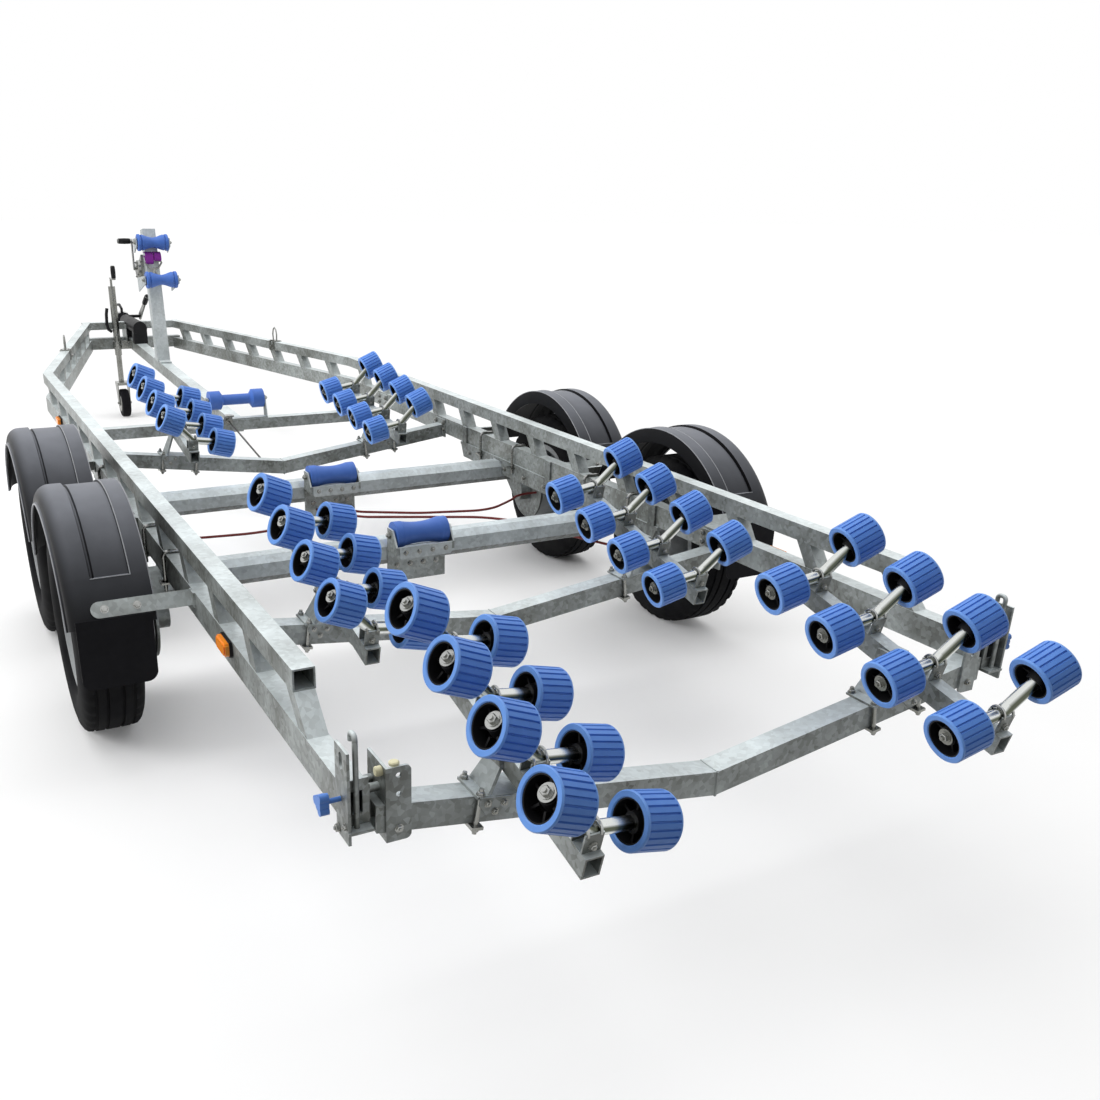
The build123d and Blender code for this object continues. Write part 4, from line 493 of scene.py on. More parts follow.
guards, guard_highlight_rods = Shape(), Shape()
for name in ("fore", "aft"):
    centre = guard_hub(name)
    for side in (1, -1):
        outer_rows, inner_rows = [], []
        for step in guard_stations:
            angle = guard_end + (pi - 2 * guard_end) * step / guard_steps
            fade = 1.0 if panel_from < step < panel_to else 0.0
            out = Vector((-cos(angle), 0, sin(angle)))
            outer_row, inner_row = [], []
            for y, rise, sunk in guard_section:
                rise = rise * fade if sunk else rise
                outer_row.append(centre + out * (guard_radius + rise) + Vector((0, side * y, 0)))
                under = guard_radius + rise - (0.0 if rise < skirt_rise else guard_skin)
                inset = guard_skin if y > guard_middle else -guard_skin
                inner_y = y - inset if y < inner_side or y > outer_side else y
                inner_row.append(centre + out * under + Vector((0, side * inner_y, 0)))
            outer_rows.append(outer_row)
            inner_rows.append(inner_row)
        # Painted highlights: pale rods along the rolled lip, the crown's inner edge and the panel's edges and
        # ends.
        guard_highlight_rods.rod([row[-1] for row in outer_rows], lip_wire, 8)
        guard_highlight_rods.rod([row[crown_row] for row in outer_rows], highlight_wire, 8)
        panel = [row for row, step in zip(outer_rows, guard_stations) if panel_from <= step <= panel_to]
        guard_highlight_rods.rod([row[panel_row] for row in panel], highlight_wire, 8)
        for row in (panel[0], panel[-1]):
            guard_highlight_rods.rod([row[panel_row], row[far_panel_row]], end_highlight_wire, 8)
        skin = [outer + inner[::-1] for outer, inner in zip(outer_rows, inner_rows)]
        guards.grid(skin, Matrix(), False, True)
        count = len(guard_section)
        for row in (0, len(skin) - 1):
            edge = len(guards.points) - len(skin) * 2 * count + row * 2 * count
            for number in range(count - 1):
                far = 2 * count - 1 - number
                guards.faces.append([edge + number, edge + number + 1, edge + far - 1, edge + far])
guard_piece = guards.piece("mudguard_mouldings", guard_plastic, "frame", "black_plastic", 30.0)
guard_highlight_rods.piece("mudguard_lips", edge_highlight_grey, "frame", "black_plastic")
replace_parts(guard_piece, "mudguards")
wear(galvanised, "mudguard_brackets")
wear(black_rubber, "mud_flaps")
strip_angle, strip_skin, strip_bolt = radians(27.0), 0.0063, 0.010
strip_bolts = Shape()
for name in ("fore", "aft"):
    for side in (1, -1):
        for way in (-1, 1):
            out = Vector((way * cos(strip_angle), 0, sin(strip_angle)))
            centre = guard_hub(name) + out * (guard_radius + strip_skin)
            for y in (1.030, 1.115):
                bolt(strip_bolts, facing(centre + Vector((0, side * y, 0)), out), strip_bolt)
strip_bolts.piece("strip_bolts", zinc, "frame", "bright_zinc")

# Roller beams
# Six square tubes that rock on folded brackets. Each carries four bent zinc-plated tubes in welded
# stirrups, and every tube end has a ribbed blue roller that spins on a black spoked hub.
beams = [name + "_" + side for name in ("front", "mid", "rear") for side in ("left", "right")]
wear(galvanised, "beam_pivots", *["beam_" + name for name in beams])
plated_tube, shader, place = new_material("plated_tube", metallic=1.0)
streak = noise(place, 14.0, 3.0, (1.0, 0.25, 0.25))
# Painted reflection: by how far the face looks up, a pale top, a dark olive band a little above the middle, a
# pale line below it and a darker underside, as a reflected horizon.
height = upward(place) + streak * 0.36 - 0.18
painted_horizon_band = ((height - 0.16) * (height - 0.16)).step(0.20, 0.03)
under = height.step(-0.45, -0.75)
dark = (painted_horizon_band + under * 0.6).step(0.0, 1.0)
dark.colours((0.74, 0.76, 0.74, 1), (0.10, 0.11, 0.08, 1)).to(shader, "Base Color")
(0.16 + noise(place, 60.0) * 0.14).to(shader, "Roughness")
wear(plated_tube, *["bogies_" + name for name in beams])
blue = mottled_finish(
    "blue_rubber", (0.062, 0.185, 0.560), (0.098, 0.245, 0.660), (30.0, 4.0), (0.36, 18.0, 0.22), True,
    specular=0.42)
# The drums' end rims in a paler blue: a painted highlight on the chamfered rim.
rim_highlight_blue = mottled_finish(
    "blue_rim", (0.098, 0.245, 0.640), (0.150, 0.320, 0.720), (30.0,), (0.34, 18.0, 0.2), specular=0.45)

bogie_spacing, bogie_count, bogie_front, bogie_rise = 0.195, 4, 0.2825, 0.064
leg_length, tube_end = 0.125, 0.033
# (slope of the leg, slope of the roller that wobbles on it, way they point)
legs = ((radians(9.5), radians(15.5), -1), (radians(47.7), radians(24.0), 1))
drum_radius, drum_half, drum_bore, rim_width = 0.057, 0.043, 0.0430, 0.0056
groove_depth, lands, groove_share, groove_floor = 0.0036, 24, 0.17, 0.35
spokes, spoke_size, spoke_out = 6, (0.0205, 0.0050, 0.046), 0.0305


def ribbed_drum(drums, rims, place):
    """The blue drum: flat lands with narrow grooves between two plain end rims."""
    angles = []
    step = tau / lands
    for land in range(lands):
        start = step * land
        angles += [(start + step * groove_share, 0), (start + step * (1 - groove_share), 0)]
        floor_share = groove_share * groove_floor
        angles += [(start + step * (1 - floor_share), 1), (start + step * (1 + floor_share), 1)]
    rows = []
    inside = drum_half - rim_width
    for height, outer in ((-inside, True), (inside, True), (inside, False), (-inside, False)):
        row = []
        for angle, sunk in angles:
            radius = drum_radius - sunk * groove_depth if outer else drum_bore
            row.append((radius * cos(angle), radius * sin(angle), height))
        rows.append(row)
    drums.grid(rows, place, True, True)
    rim = [(drum_bore, inside), (drum_radius - 0.0004, inside), (drum_radius, drum_half - 0.003)]
    rim += [(drum_radius - 0.002, drum_half), (drum_bore + 0.0020, drum_half), (drum_bore, drum_half - 0.002)]
    for way in (1, -1):
        rims.turned([(radius, way * height) for radius, height in rim], place, 48, True)


def spoked_hub(hubs, drum, leg):
    """The black bearing in a roller: a lined bore, a web with spokes and a sleeve on the leg."""
    lining = drum_half - 0.003
    liner = [(drum_bore - 0.003, lining), (drum_bore - 0.0001, lining)]
    hubs.turned(liner + [(radius, -height) for radius, height in reversed(liner)], drum, 40, True)
    hubs.turned([(0.020, 0.002), (0.0405, 0.002), (0.0405, -0.002), (0.020, -0.002)], drum, 32, True)
    for number in range(spokes):
        turn = Matrix.Rotation(tau * number / spokes, 4, "Z") @ Matrix.Translation((spoke_out, 0, 0))
        hubs.block(spoke_size, drum @ turn)
    sleeve = [(0.0152, 0.031), (0.0205, 0.031), (0.0235, 0.012), (0.0235, -0.012), (0.0205, -0.031)]
    hubs.turned(sleeve + [(0.0152, -0.031)], leg, 24, True)


end_washer, washer_skin, end_bolt, stirrup_bolt = 0.0185, 0.003, 0.0115, 0.008
washer_gap, roller_turn, stirrup_half, stirrup_drop = 0.0005, 0.37, 0.0195, 0.024
hoop_radius, hoop_wire, hoop_steps = 0.0185, 0.0032, 12
hoop_turns = [radians(180.0 * step / hoop_steps) for step in range(hoop_steps + 1)]
for name in beams:
    body = "roller_beam_" + name
    joint = joints[body + "_rock"]
    pivot = pin(body + "_rock")
    hand = 1 if pivot.y > 0 else -1
    tilt = radians(joint["range_deg"][1]) / 2
    mirror = Matrix.Diagonal((1, hand, 1, 1))
    beam = Matrix.Translation(pivot) @ Matrix.Rotation(-tilt, 4, "Y") @ mirror
    drums, rims, hubs, metal = Shape(), Shape(), Shape(), Shape()
    for number in range(bogie_count):
        station = bogie_front - bogie_spacing * number
        for slope, wobble, way in legs:
            out = Vector((0, way * cos(slope), way * sin(slope)))
            axle = Vector((0, way * cos(wobble), way * sin(wobble)))
            middle = Vector((station, 0, bogie_rise)) + out * leg_length
            drum = beam @ facing(middle, axle, roller_turn * number + way)
            ribbed_drum(drums, rims, drum)
            spoked_hub(hubs, drum, beam @ facing(middle, out))
            end = beam @ facing(middle + out * (tube_end + washer_gap), out)
            metal.turned([(0, washer_skin), (end_washer, washer_skin), (end_washer, 0.0), (0, 0)], end, 24)
            bolt(metal, end @ Matrix.Translation((0, 0, washer_skin)), end_bolt)
        for along in (-0.014, 0.014):
            bend = [(hoop_radius * cos(a), hoop_radius * sin(a)) for a in hoop_turns]
            hoop = [beam @ Vector((station + x, along, bogie_rise + z)) for x, z in bend]
            metal.rod(hoop, hoop_wire, 8)
        for way in (-1, 1):
            spot = Vector((station + way * stirrup_half, 0, bogie_rise - stirrup_drop))
            bolt(metal, beam @ facing(spot, (way, 0, 0)), stirrup_bolt)
    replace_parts(drums.piece("drums_" + name, blue, body, "blue_rubber", 20.0), "rollers_" + name)
    rims.piece("drum_rims_" + name, rim_highlight_blue, body, "blue_rubber")
    hubs.piece("roller_hubs_" + name, black_plastic, body, "black_plastic")
    metal.piece("bogie_fixings_" + name, zinc, body, "bright_zinc")

# Beam brackets
# Folded cheeks, with a bolted apron behind, on plates that threaded legs and bars clamp on the
# cross-members. A nut holds each end of the pivot pin. The V-shaped tubes are welded at the middle.
clamps, welds, aprons = Shape(), Shape(), Shape()
apron = [(0.006, 0.005), (0.080, 0.005), (0.080, -0.012), (0.060, -0.037), (0.026, -0.037), (0.006, -0.012)]
apron_back, apron_skin, apron_bolt = 0.0450, 0.004, 0.007
apron_spots = ((0.024, -0.008), (0.062, -0.008), (0.043, -0.026))
tube_half, clamp_leg, clamp_nut, clamp_bar = 0.030, 0.005, 0.009, (0.095, 0.026, 0.007)
leg_top, leg_foot, plate_top, bar_middle, bar_under = 0.020, -0.080, 0.006, -0.0645, -0.068
pin_nut, pin_reach, weld_radius = 0.012, 0.0290, 0.0028
member_run = 0.822
# name: (pin above the tube's top, slope of the tube from the rail to the middle)
members = {
    "front": (0.111, 0.110 / member_run),
    "mid": (0.094, 0.100 / member_run),
    "rear": (0.087, 0.128 / member_run),
}
for name in beams:
    pivot = pin("roller_beam_%s_rock" % name)
    hand = 1 if pivot.y > 0 else -1
    rise, fall = members[name.split("_")[0]]
    mirror = Matrix.Diagonal((1, hand, 1, 1))
    lean = Matrix.Rotation(atan2(fall, 1), 4, "X")
    base = Matrix.Translation((pivot.x, pivot.y, pivot.z - rise)) @ mirror @ lean
    for across in (-0.074, 0.074):
        for along in (-0.0365, 0.0365):
            clamps.rod([base @ Vector((along, across, up)) for up in (leg_top, leg_foot)], clamp_leg, 10)
            bolt(clamps, base @ facing((along, across, plate_top), (0, 0, 1)), clamp_nut)
            bolt(clamps, base @ facing((along, across, bar_under), (0, 0, -1)), clamp_nut)
        clamps.block(clamp_bar, base @ Matrix.Translation((0, across, bar_middle)))
    hung = base @ Matrix(((0, 0, -1, -apron_back), (1, 0, 0, 0), (0, 1, 0, 0), (0, 0, 0, 1)))
    aprons.prism(apron, 0.0, apron_skin, hung)
    for across, up in apron_spots:
        bolt(clamps, base @ facing((-apron_back - apron_skin, across, up), (-1, 0, 0)), apron_bolt)
    for way in (-1, 1):
        bolt(clamps, facing((pivot.x, pivot.y + way * pin_reach, pivot.z), (0, way, 0)), pin_nut)
    if hand > 0:
        top = pivot.z - rise - pivot.y * fall
        low = top - 2 * tube_half / cos(atan2(fall, 1))
        corners = [(tube_half, top), (-tube_half, top), (-tube_half, low), (tube_half, low)]
        for (x, z), (far_x, far_z) in zip(corners, corners[1:] + corners[:1]):
            welds.rod([(pivot.x + x, 0, z), (pivot.x + far_x, 0, far_z)], weld_radius, 8)
clamps.piece("beam_clamps", zinc, "frame", "bright_zinc")
welds.piece("member_welds", galvanised, "frame", "galvanised")
aprons.piece("bracket_aprons", galvanised, "frame", "galvanised")

# Keel rollers
# Blue moulded rollers on the centre line: a long one with two cups ahead, and two waisted ones behind
# the axles in folded cradles with bolted lips.
deep_blue = mottled_finish(
    "deep_blue_rubber", (0.038, 0.110, 0.400), (0.062, 0.155, 0.490), (30.0, 4.0), (0.36, 18.0, 0.22), True,
    specular=0.40)
wear(deep_blue, "keel_roller_front", "keel_roller_fore_axle", "keel_roller_rear_axle")
wear(galvanised, "keel_cradles")
new_zinc = galvanised_finish("galvanised_new", (0.31, 0.34, 0.345, 1), (0.82, 0.87, 0.88, 1), 0.34)
keel_bolts, cradle_lips = Shape(), Shape()
axle_bolt, lip_bolt, cradle_bolt = 0.012, 0.008, 0.009
lip_back, lip_skin = 0.0562, 0.0033
lip_face, lip_drop, cradle_face, cradle_drop = -0.0595, -0.050, 0.021, -0.118
lip_outline = [
    (-0.098, -0.066), (-0.092, -0.072), (0.092, -0.072), (0.098, -0.066), (0.098, -0.030), (-0.098, -0.030),
]
for name, reach in (("front", 0.1625), ("fore_axle", 0.1175), ("rear_axle", 0.1175)):
    hub = pin("keel_roller_%s_spin" % name)
    for side in (1, -1):
        bolt(keel_bolts, facing(hub + Vector((0, side * (reach - 0.008), 0)), (0, side, 0)), axle_bolt)
    if name != "front":
        for across in (-0.075, -0.025, 0.025, 0.075):
            bolt(keel_bolts, facing(hub + Vector((lip_face, across, lip_drop)), (-1, 0, 0)), lip_bolt)
            bolt(keel_bolts, facing(hub + Vector((cradle_face, across, cradle_drop)), (-1, 0, 0)), cradle_bolt)
        upright = Matrix(((0, 0, -1, -lip_back), (1, 0, 0, 0), (0, 1, 0, 0), (0, 0, 0, 1)))
        cradle_lips.prism(lip_outline, 0.0, lip_skin, Matrix.Translation(hub) @ upright)
keel_bolts.piece("keel_bolts", zinc, "frame", "bright_zinc")
cradle_lips.piece("cradle_lips", new_zinc, "frame", "galvanised")

# Brake cables
# Dark red plastic sheaths that run in free curves from the middle of the front axle to the four
# back plates.
red_sheath = mottled_finish(
    "red_cable", (0.085, 0.008, 0.008), (0.16, 0.016, 0.014), (25.0,), (0.40, 40.0, 0.2), specular=0.4)
wear(red_sheath, "brake_cables")

# Brake rod
# A thin dark steel rod from a plated bracket under the front cross-member to the fore V tube, with
# a nut at each end.
rod_steel = mottled_finish(
    "rod_steel", (0.05, 0.048, 0.045), (0.14, 0.135, 0.13), (60.0, 4.0), (0.35, 90.0, 0.2), metallic=0.8)
rod_y, rod_radius, rod_thread, rod_nut = 0.060, 0.0045, 0.012, 0.012
fore = pin("roller_beam_front_left_rock")
rod_rear = Vector((fore.x + tube_half, rod_y, 0.360))
rod_front = Vector((member_x[2] - tube_half, rod_y, 0.455))
along = (rod_front - rod_rear).normalized()
brake_rod, rod_bracket = Shape(), Shape()
brake_rod.rod([rod_rear, rod_front + along * rod_thread], rod_radius, 12)
brake_rod.piece("brake_rod", rod_steel, "frame", "galvanised")
bracket_plate, bracket_foot = (0.006, 0.044, 0.050), (0.040, 0.044, 0.006)
rod_bracket.block(bracket_plate, Matrix.Translation(rod_front + Vector((-0.003, 0, 0.006))))
rod_bracket.block(bracket_foot, Matrix.Translation(rod_front + Vector((-0.020, 0, 0.028))))
front_gap, rear_gap = 0.008, 0.001
bolt(rod_bracket, facing(rod_front - along * front_gap, -along), rod_nut)
bolt(rod_bracket, facing(rod_rear + along * rear_gap, along), rod_nut)
rod_bracket.piece("brake_rod_bracket", zinc, "frame", "bright_zinc")

# Winch post
# A leaning square post of fresh galvanised tube on the spine, with two waisted blue bow rollers on
# plated arms.
wear(new_zinc, "winch_post")
post_bolts = Shape()
arm_reach, arm_bolt = 0.108, 0.012
# (radius, distance from the roller's middle)
reel_half = [
    (0.0095, 0.095), (0.0480, 0.095), (0.0510, 0.0925), (0.0510, 0.0800), (0.0490, 0.0775), (0.0420, 0.0770),
    (0.0415, 0.0710), (0.0475, 0.0700), (0.0480, 0.0640), (0.0430, 0.0480), (0.0365, 0.0310), (0.0320, 0.0150),
    (0.0300, 0.0),
]
reel_profile = reel_half + [(radius, -height) for radius, height in reversed(reel_half[:-1])]
for name in ("upper", "lower"):
    body = "bow_roller_" + name
    hub = pin(body + "_spin")
    for side in (1, -1):
        bolt(post_bolts, facing(hub + Vector((0, side * arm_reach, 0)), (0, side, 0)), arm_bolt)
    reel = Shape()
    reel.turned(reel_profile, facing(hub, (0, 1, 0)), 40, True)
    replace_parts(reel.piece("bow_reel_" + name, deep_blue, body, "blue_rubber"), body)
post_bolts.piece("post_bolts", zinc, "frame", "bright_zinc")

# Hand winch
# A plated winch on the front of the post: gear case on the left, crank with a black grip, and a
# purple webbing strap that hangs in two folds, with a steel ring and hook, between the bow rollers.
wear(zinc, "winch_frame", "winch_drum")
webbing, shader, place = new_material("purple_webbing", specular=0.3)
weave = place.node("TexWave", {"bands_direction": "Y"}, 1, Vector=place, Scale=160.0, Distortion=0.4)
weave.colours((0.150, 0.014, 0.200, 1), (0.300, 0.040, 0.360, 1)).to(shader, "Base Color")
(0.72 + noise(place, 80.0) * 0.15).to(shader, "Roughness")
wear(webbing, "winch_strap")
winch = pin("winch_turn")
case = Shape()
case_drop, case_bolts, case_circle, case_bolt = 0.012, 5, 0.046, 0.006
case_seat, case_face = 0.0565, 0.0765
case_place = facing(winch + Vector((0, case_seat, -case_drop)), (0, 1, 0))
case.turned([(0, 0.020), (0.050, 0.020), (0.060, 0.015), (0.062, 0.0)], case_place, 40)
for number in range(case_bolts):
    turn = tau * number / case_bolts
    spot = winch + Vector((case_circle * cos(turn), case_face, case_circle * sin(turn) - case_drop))
    bolt(case, facing(spot, (0, 1, 0)), case_bolt)
case.piece("winch_gear_case", zinc, "frame", "bright_zinc")
grip = Shape()
grip_length, crank_reach = 0.080, 0.165
grip_place = facing((winch.x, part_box("winch_drum")[1].y - grip_length, winch.z + crank_reach), (0, 1, 0))
grip_half = [(0.0152, 0.0), (0.0170, 0.004), (0.0180, 0.040), (0.0165, 0.072), (0.0130, 0.0800), (0, 0.0805)]
grip.turned(grip_half, grip_place, 20)
grip.piece("winch_grip", black_plastic, "winch", "black_plastic")

upper = pin("bow_roller_upper_spin")
tail = Shape()
post_face_x, web_half, tail_drop = upper.x + 0.066, 0.0022, 0.062
# (one edge, other edge, how far the fold hangs)
folds = ((0.004, 0.054, 0.066), (-0.046, -0.002, 0.052))
for edge, far_edge, hang in folds:
    fold = [(post_face_x, 0.0), (upper.x + 0.022, 0.004), (upper.x - 0.004, -0.006), (upper.x - 0.012, -0.026)]
    fold += [(upper.x - 0.010, -hang + 0.010), (upper.x + 0.002, -hang), (upper.x + 0.014, -hang + 0.012)]
    fold += [(upper.x + 0.020, -0.028), (post_face_x, -0.022)]
    ends = [fold[0], *fold, fold[-1]]
    rows = []
    for (x, z), before, after in zip(fold, ends, ends[2:]):
        way = Vector(after) - Vector(before)
        off = Vector((way.y, -way.x)).normalized() * web_half
        z += upper.z - tail_drop
        rows.append([(x + off.x, edge, z + off.y), (x + off.x, far_edge, z + off.y),
                     (x - off.x, far_edge, z - off.y), (x - off.x, edge, z - off.y)])
    first = len(tail.points)
    tail.grid(rows, Matrix(), False, True)
    last = first + 4 * (len(rows) - 1)
    tail.faces += [[first, first + 1, first + 2, first + 3], [last + 3, last + 2, last + 1, last]]
tail.piece("strap_tail", webbing, "frame", "purple_webbing")
hook = Shape()
hook_wire, ring_wire = 0.0085, 0.0060
eye = Vector((upper.x + 0.002, 0.004, upper.z - tail_drop - 0.050))
# (across, up)
ring = [
    (0.048, 0.0), (0.052, -0.008), (0.030, -0.040), (0.0, -0.052),
    (-0.030, -0.040), (-0.052, -0.008), (-0.048, 0.0),
]
hook.rod([eye + Vector((0, y, z)) for y, z in ring], ring_wire, 10, True)
# (along, up)
hook_path = [
    (0.0, -0.040), (0.0, -0.066), (-0.012, -0.088), (-0.034, -0.092), (-0.046, -0.074), (-0.044, -0.058),
]
hook.rod([eye + Vector((x, 0, z)) for x, z in hook_path], hook_wire, 12)
hook.piece("strap_hook", zinc, "frame", "bright_zinc")

# Coupling, handbrake and jockey wheel
# An overrun coupling with a black-coated body, a rubber gaiter and a plated ball head, a lever with a
# black grip, and a tube jockey wheel in a clamp, with a cranked handle on top and a solid black tyre.
wear(zinc, "coupling_head", "handbrake", "jockey_tube", "jockey_stem", "jockey_fork")
wear(black_plastic, "coupling_body")
wear(black_rubber, "gaiter", "jockey_wheel")
head_low, head_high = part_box("coupling_head")
handle = Shape()
handle_radius, handle_x, handle_z = 0.010, head_low.x + 0.13, head_high.z - 0.01
handle_path = [(-0.10, 0.0), (-0.10, 0.040), (-0.02, 0.062), (0.06, 0.055)]
handle.rod([(handle_x + x, 0, handle_z + z) for x, z in handle_path], handle_radius, 12)
handle.piece("coupling_handle", black_plastic, "frame", "black_plastic")
lever_raise, grip_start = radians(26.5), 0.250
lever_out = Vector((-cos(lever_raise), 0, sin(lever_raise)))
sleeve = [(0.0150, 0.0), (0.0180, 0.004), (0.0185, 0.060), (0.0175, 0.118), (0.0130, 0.1305), (0, 0.1310)]
lever_grip = Shape()
lever_grip.turned(sleeve, facing(pin("handbrake_pull") + lever_out * grip_start, lever_out), 24)
lever_grip.piece("handbrake_grip", black_plastic, "handbrake", "black_plastic")
jockey = pin("jockey_swivel")
jockey_grip = Shape()
jockey_sleeve = [
    (0.0130, 0.010), (0.0155, 0.014), (0.0170, 0.055), (0.0155, 0.088), (0.0110, 0.0955), (0, 0.0960),
]
jockey_crank, crank_grip = 0.130, 0.095
grip_foot = Vector((jockey.x - jockey_crank, jockey.y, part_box("jockey_tube")[1].z - crank_grip))
jockey_grip.turned(jockey_sleeve, facing(grip_foot, (0, 0, 1)), 24)
jockey_grip.piece("jockey_grip", black_plastic, "frame", "black_plastic")
clamp_lever = Shape()
clamp_lever_radius = 0.011
# (out from the tube, height)
lever_path = [(0.030, 0.605), (0.052, 0.622), (0.060, 0.660), (0.056, 0.730), (0.048, 0.770)]
clamp_lever.rod([(jockey.x, jockey.y + out, z) for out, z in lever_path], clamp_lever_radius, 12)
clamp_lever.piece("jockey_clamp_lever", black_plastic, "frame", "black_plastic")
hub = pin("jockey_spin")
jockey_hub = Shape()
disc_out = 0.0302
for side in (1, -1):
    face = facing(hub + Vector((0, side * disc_out, 0)), (0, side, 0))
    jockey_hub.turned([(0.010, 0.0035), (0.058, 0.0035), (0.062, 0.0), (0.010, 0.0)], face, 32, True)
jockey_hub.piece("jockey_wheel_disc", zinc, "jockey_wheel", "bright_zinc")

# Rear corners
# Galvanised straps and hooked rods that hold the lamp board, with blue wing knobs, zinc bolts and
# cream nylon pads between the plates.
wear(galvanised, "lamp_holders")
wear(blue, "wing_knobs")
cream = mottled_finish(
    "cream_nylon", (0.62, 0.58, 0.36), (0.78, 0.74, 0.52), (60.0,), (0.45, 90.0, 0.1), specular=0.4)
rear_x = joints["roller_beam_rear_left_rock"]["pos_m"][0]
corner_bolts, pads = Shape(), Shape()
knob_pad = [(0, 0.007), (0.008, 0.007), (0.0105, 0.005), (0.0105, 0.0), (0, 0)]
spacer = [(0, 0.013), (0.008, 0.013), (0.010, 0.011), (0.010, 0.0), (0, 0)]
# (along from the rear pivots, across, up, out to the rear, out to the side, size)
corner_spots = (
    (0.004, 0.884, 0.448, 0, 1, 0.009),
    (-0.034, 0.884, 0.470, 0, 1, 0.007),
    (-0.036, 0.778, 0.440, -1, 0, 0.008),
)
for side in (1, -1):
    for along, across, up, rearward, sideways, size in corner_spots:
        spot = (rear_x + along, side * across, up)
        bolt(corner_bolts, facing(spot, (rearward, side * sideways, 0)), size)
    pads.turned(knob_pad, facing((rear_x - 0.024, side * 0.782, 0.573), (0, 0, 1)), 18)
    pads.turned(spacer, facing((rear_x - 0.014, side * 0.804, 0.560), (0, side, 0)), 18)
corner_bolts.piece("corner_bolts", zinc, "frame", "bright_zinc")
pads.piece("corner_pads", cream, "frame", "black_plastic")

# Side markers
# Oblong amber plastic lenses with a stepped face on black bases, screwed to the outside of the
# lower rails.
amber, shader, place = new_material("amber_lens", specular=0.6)
prism = place.node("TexWave", {"bands_direction": "X"}, 1, Vector=place, Scale=60.0)
prism.colours((0.85, 0.20, 0.01, 1), (0.95, 0.34, 0.03, 1)).to(shader, "Base Color")
shader.inputs["Roughness"].default_value = 0.18
marker_low, marker_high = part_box("side_markers")
marker_half, marker_depth = 0.045, 0.022
marker_z = (marker_low.z + marker_high.z) / 2
base_top, lens_top, face_top = 0.008, 0.018, 0.0215
outline = [(0.045, 0.014), (0.039, 0.020), (-0.039, 0.020), (-0.045, 0.014)]
outline = (outline + [(-x, -y) for x, y in outline])[::-1]
lenses, bases = Shape(), Shape()
for x in (marker_low.x + marker_half, marker_high.x - marker_half):
    for side in (1, -1):
        place = facing((x, side * (marker_high.y - marker_depth), marker_z), (0, side, 0))
        bases.prism(outline, 0.0, base_top, place)
        lenses.prism([(0.92 * across, 0.86 * up) for across, up in outline], base_top, lens_top, place)
        lenses.prism([(0.84 * across, 0.70 * up) for across, up in outline], lens_top, face_top, place)
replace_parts(bases.piece("marker_bases", black_plastic, "frame", "black_plastic"), "side_markers")
lenses.piece("marker_lenses", amber, "frame", "amber")


# Floor, light and camera
# A pale studio floor that goes over into the white of the room, a broad soft light from above, one
# from the left and a much weaker one from the right. The camera stands behind the trailer on its left.
def seen_rays(wire):
    """One for what the camera, gloss and glass see, nought for light on the way."""
    camera, gloss, glass = (wire.node("LightPath", output=number) for number in (0, 3, 6))
    return camera + gloss + glass


white, black = (1.0, 1.0, 1.0, 1), (0.0, 0.0, 0.0, 1)
floor_paint, shader, place = new_material("studio_floor", specular=0.1)
far = place.node("Mapping", None, 0, Vector=place, Scale=(0.60, 1.0, 1.0))
far = place.node("VectorMath", {"operation": "LENGTH"}, 1, in0=far).step(1.4, 3.3)
pale = noise(place, 0.6).colours((0.84, 0.84, 0.84, 1), (0.87, 0.87, 0.87, 1))
far.colours(pale, black).to(shader, "Base Color")
(far * seen_rays(place)).colours(black, white).to(shader, "Emission Color")
shader.inputs["Emission Strength"].default_value = 1.0
shader.inputs["Roughness"].default_value = 0.9
floor_half = 60
corners = [(-1, -1), (1, -1), (1, 1), (-1, 1)]
floor_mesh = bpy.data.meshes.new("floor")
floor_mesh.from_pydata([(floor_half * x, floor_half * y, 0) for x, y in corners], [], [(0, 1, 2, 3)])
floor_mesh.materials.append(floor_paint)
floor = bpy.data.objects.new("floor", floor_mesh)
bpy.context.scene.collection.objects.link(floor)


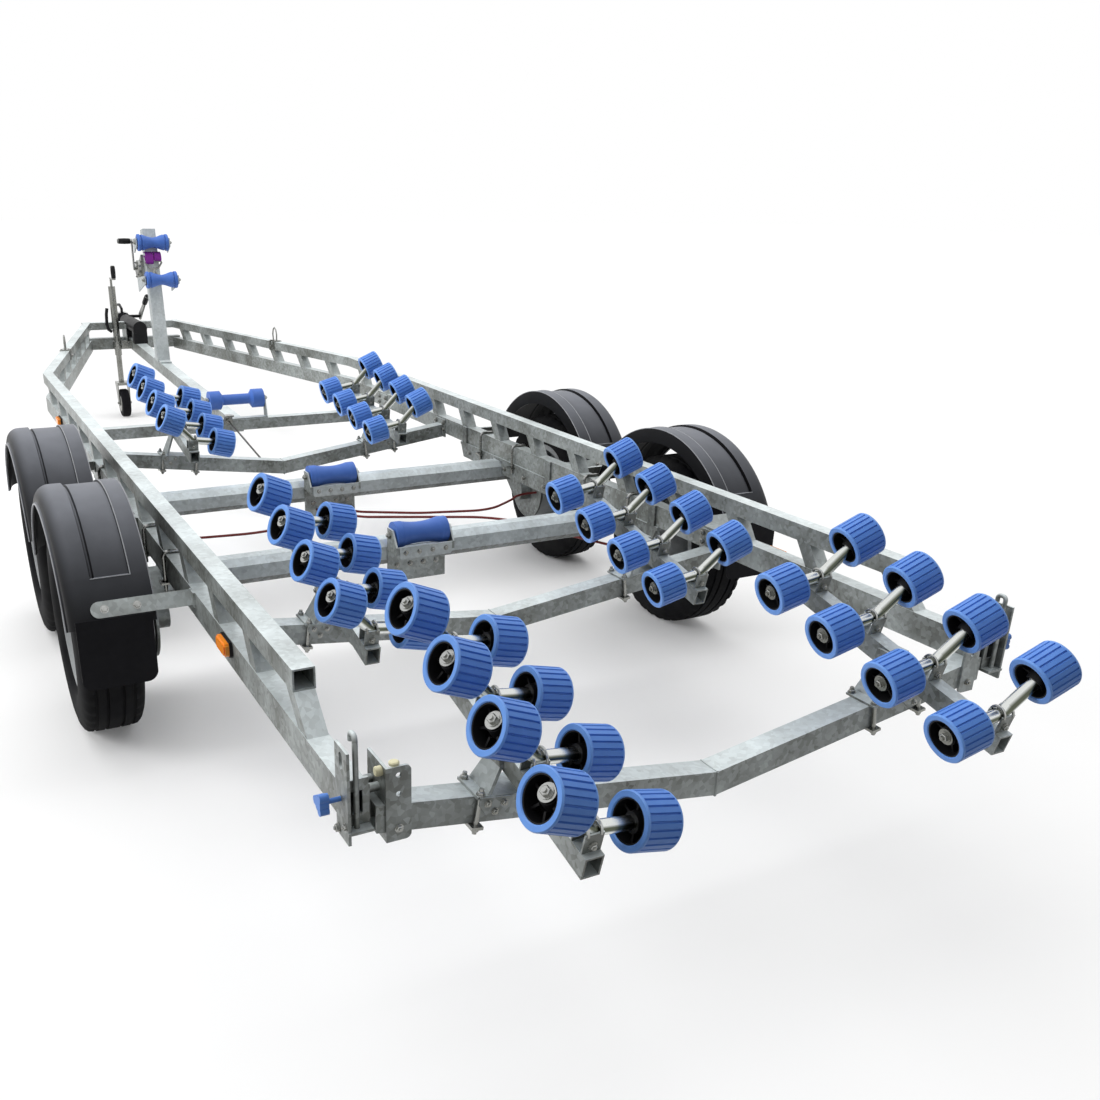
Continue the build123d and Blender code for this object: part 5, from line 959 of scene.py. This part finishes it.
def soft_light(name, place, aim, size, power):
    """An oblong area light that looks at a point."""
    lamp = bpy.data.lights.new(name, "AREA")
    lamp.shape = "RECTANGLE"
    lamp.size, lamp.size_y = size
    lamp.energy = power
    made = bpy.data.objects.new(name, lamp)
    made.matrix_world = facing(place, Vector(place) - Vector(aim))
    made.visible_glossy = False
    bpy.context.scene.collection.objects.link(made)


soft_light("overhead", (0.5, 0.0, 7.0), (0, 0, 0), (13.0, 9.0), 720.0)
soft_light("left_side", (1.5, 9.0, 4.5), (0, 0, 0.5), (6.0, 4.0), 720.0)
soft_light("right_side", (1.5, -9.0, 4.5), (0, 0, 0.5), (6.0, 4.0), 150.0)

world = bpy.data.worlds.new("studio")
bpy.context.scene.world = world
world.use_nodes = True
world_nodes = world.node_tree.nodes
world_nodes.remove(world_nodes["Background"])
room = Wire(world.node_tree)
soft = room.node("Background", Color=white, Strength=0.38)
bright = room.node("Background", Color=white, Strength=1.0)
room.node("MixShader", in0=seen_rays(room), in1=soft, in2=bright).to(world_nodes["World Output"], "Surface")

yaw, pitch, roll = radians(-27.248), radians(22.176), radians(-0.98)
focal_px, image_px, offset_px = 1061.85, 1100.0, 80.0
camera_behind, camera_left, camera_height = 1.629, 1.4542, 1.5522
right = Vector((sin(yaw), -cos(yaw), 0))
ahead = Vector((cos(yaw) * cos(pitch), sin(yaw) * cos(pitch), -sin(pitch)))
down = ahead.cross(right)
tilted_right = right * cos(roll) + down * sin(roll)
tilted_down = down * cos(roll) - right * sin(roll)
lens = bpy.data.cameras.new("camera")
lens.sensor_width = 36.0
lens.lens = focal_px / image_px * lens.sensor_width
lens.shift_x = offset_px / image_px
lens.shift_y = offset_px / image_px
lens.clip_end = 200.0
camera = bpy.data.objects.new("camera", lens)
turn = Matrix((tilted_right, -tilted_down, -ahead)).transposed()
stand = Matrix.Translation((rear_x - camera_behind, camera_left, camera_height))
camera.matrix_world = stand @ turn.to_4x4()
bpy.context.scene.collection.objects.link(camera)
bpy.context.scene.camera = camera
bpy.context.scene.view_settings.view_transform = "Standard"
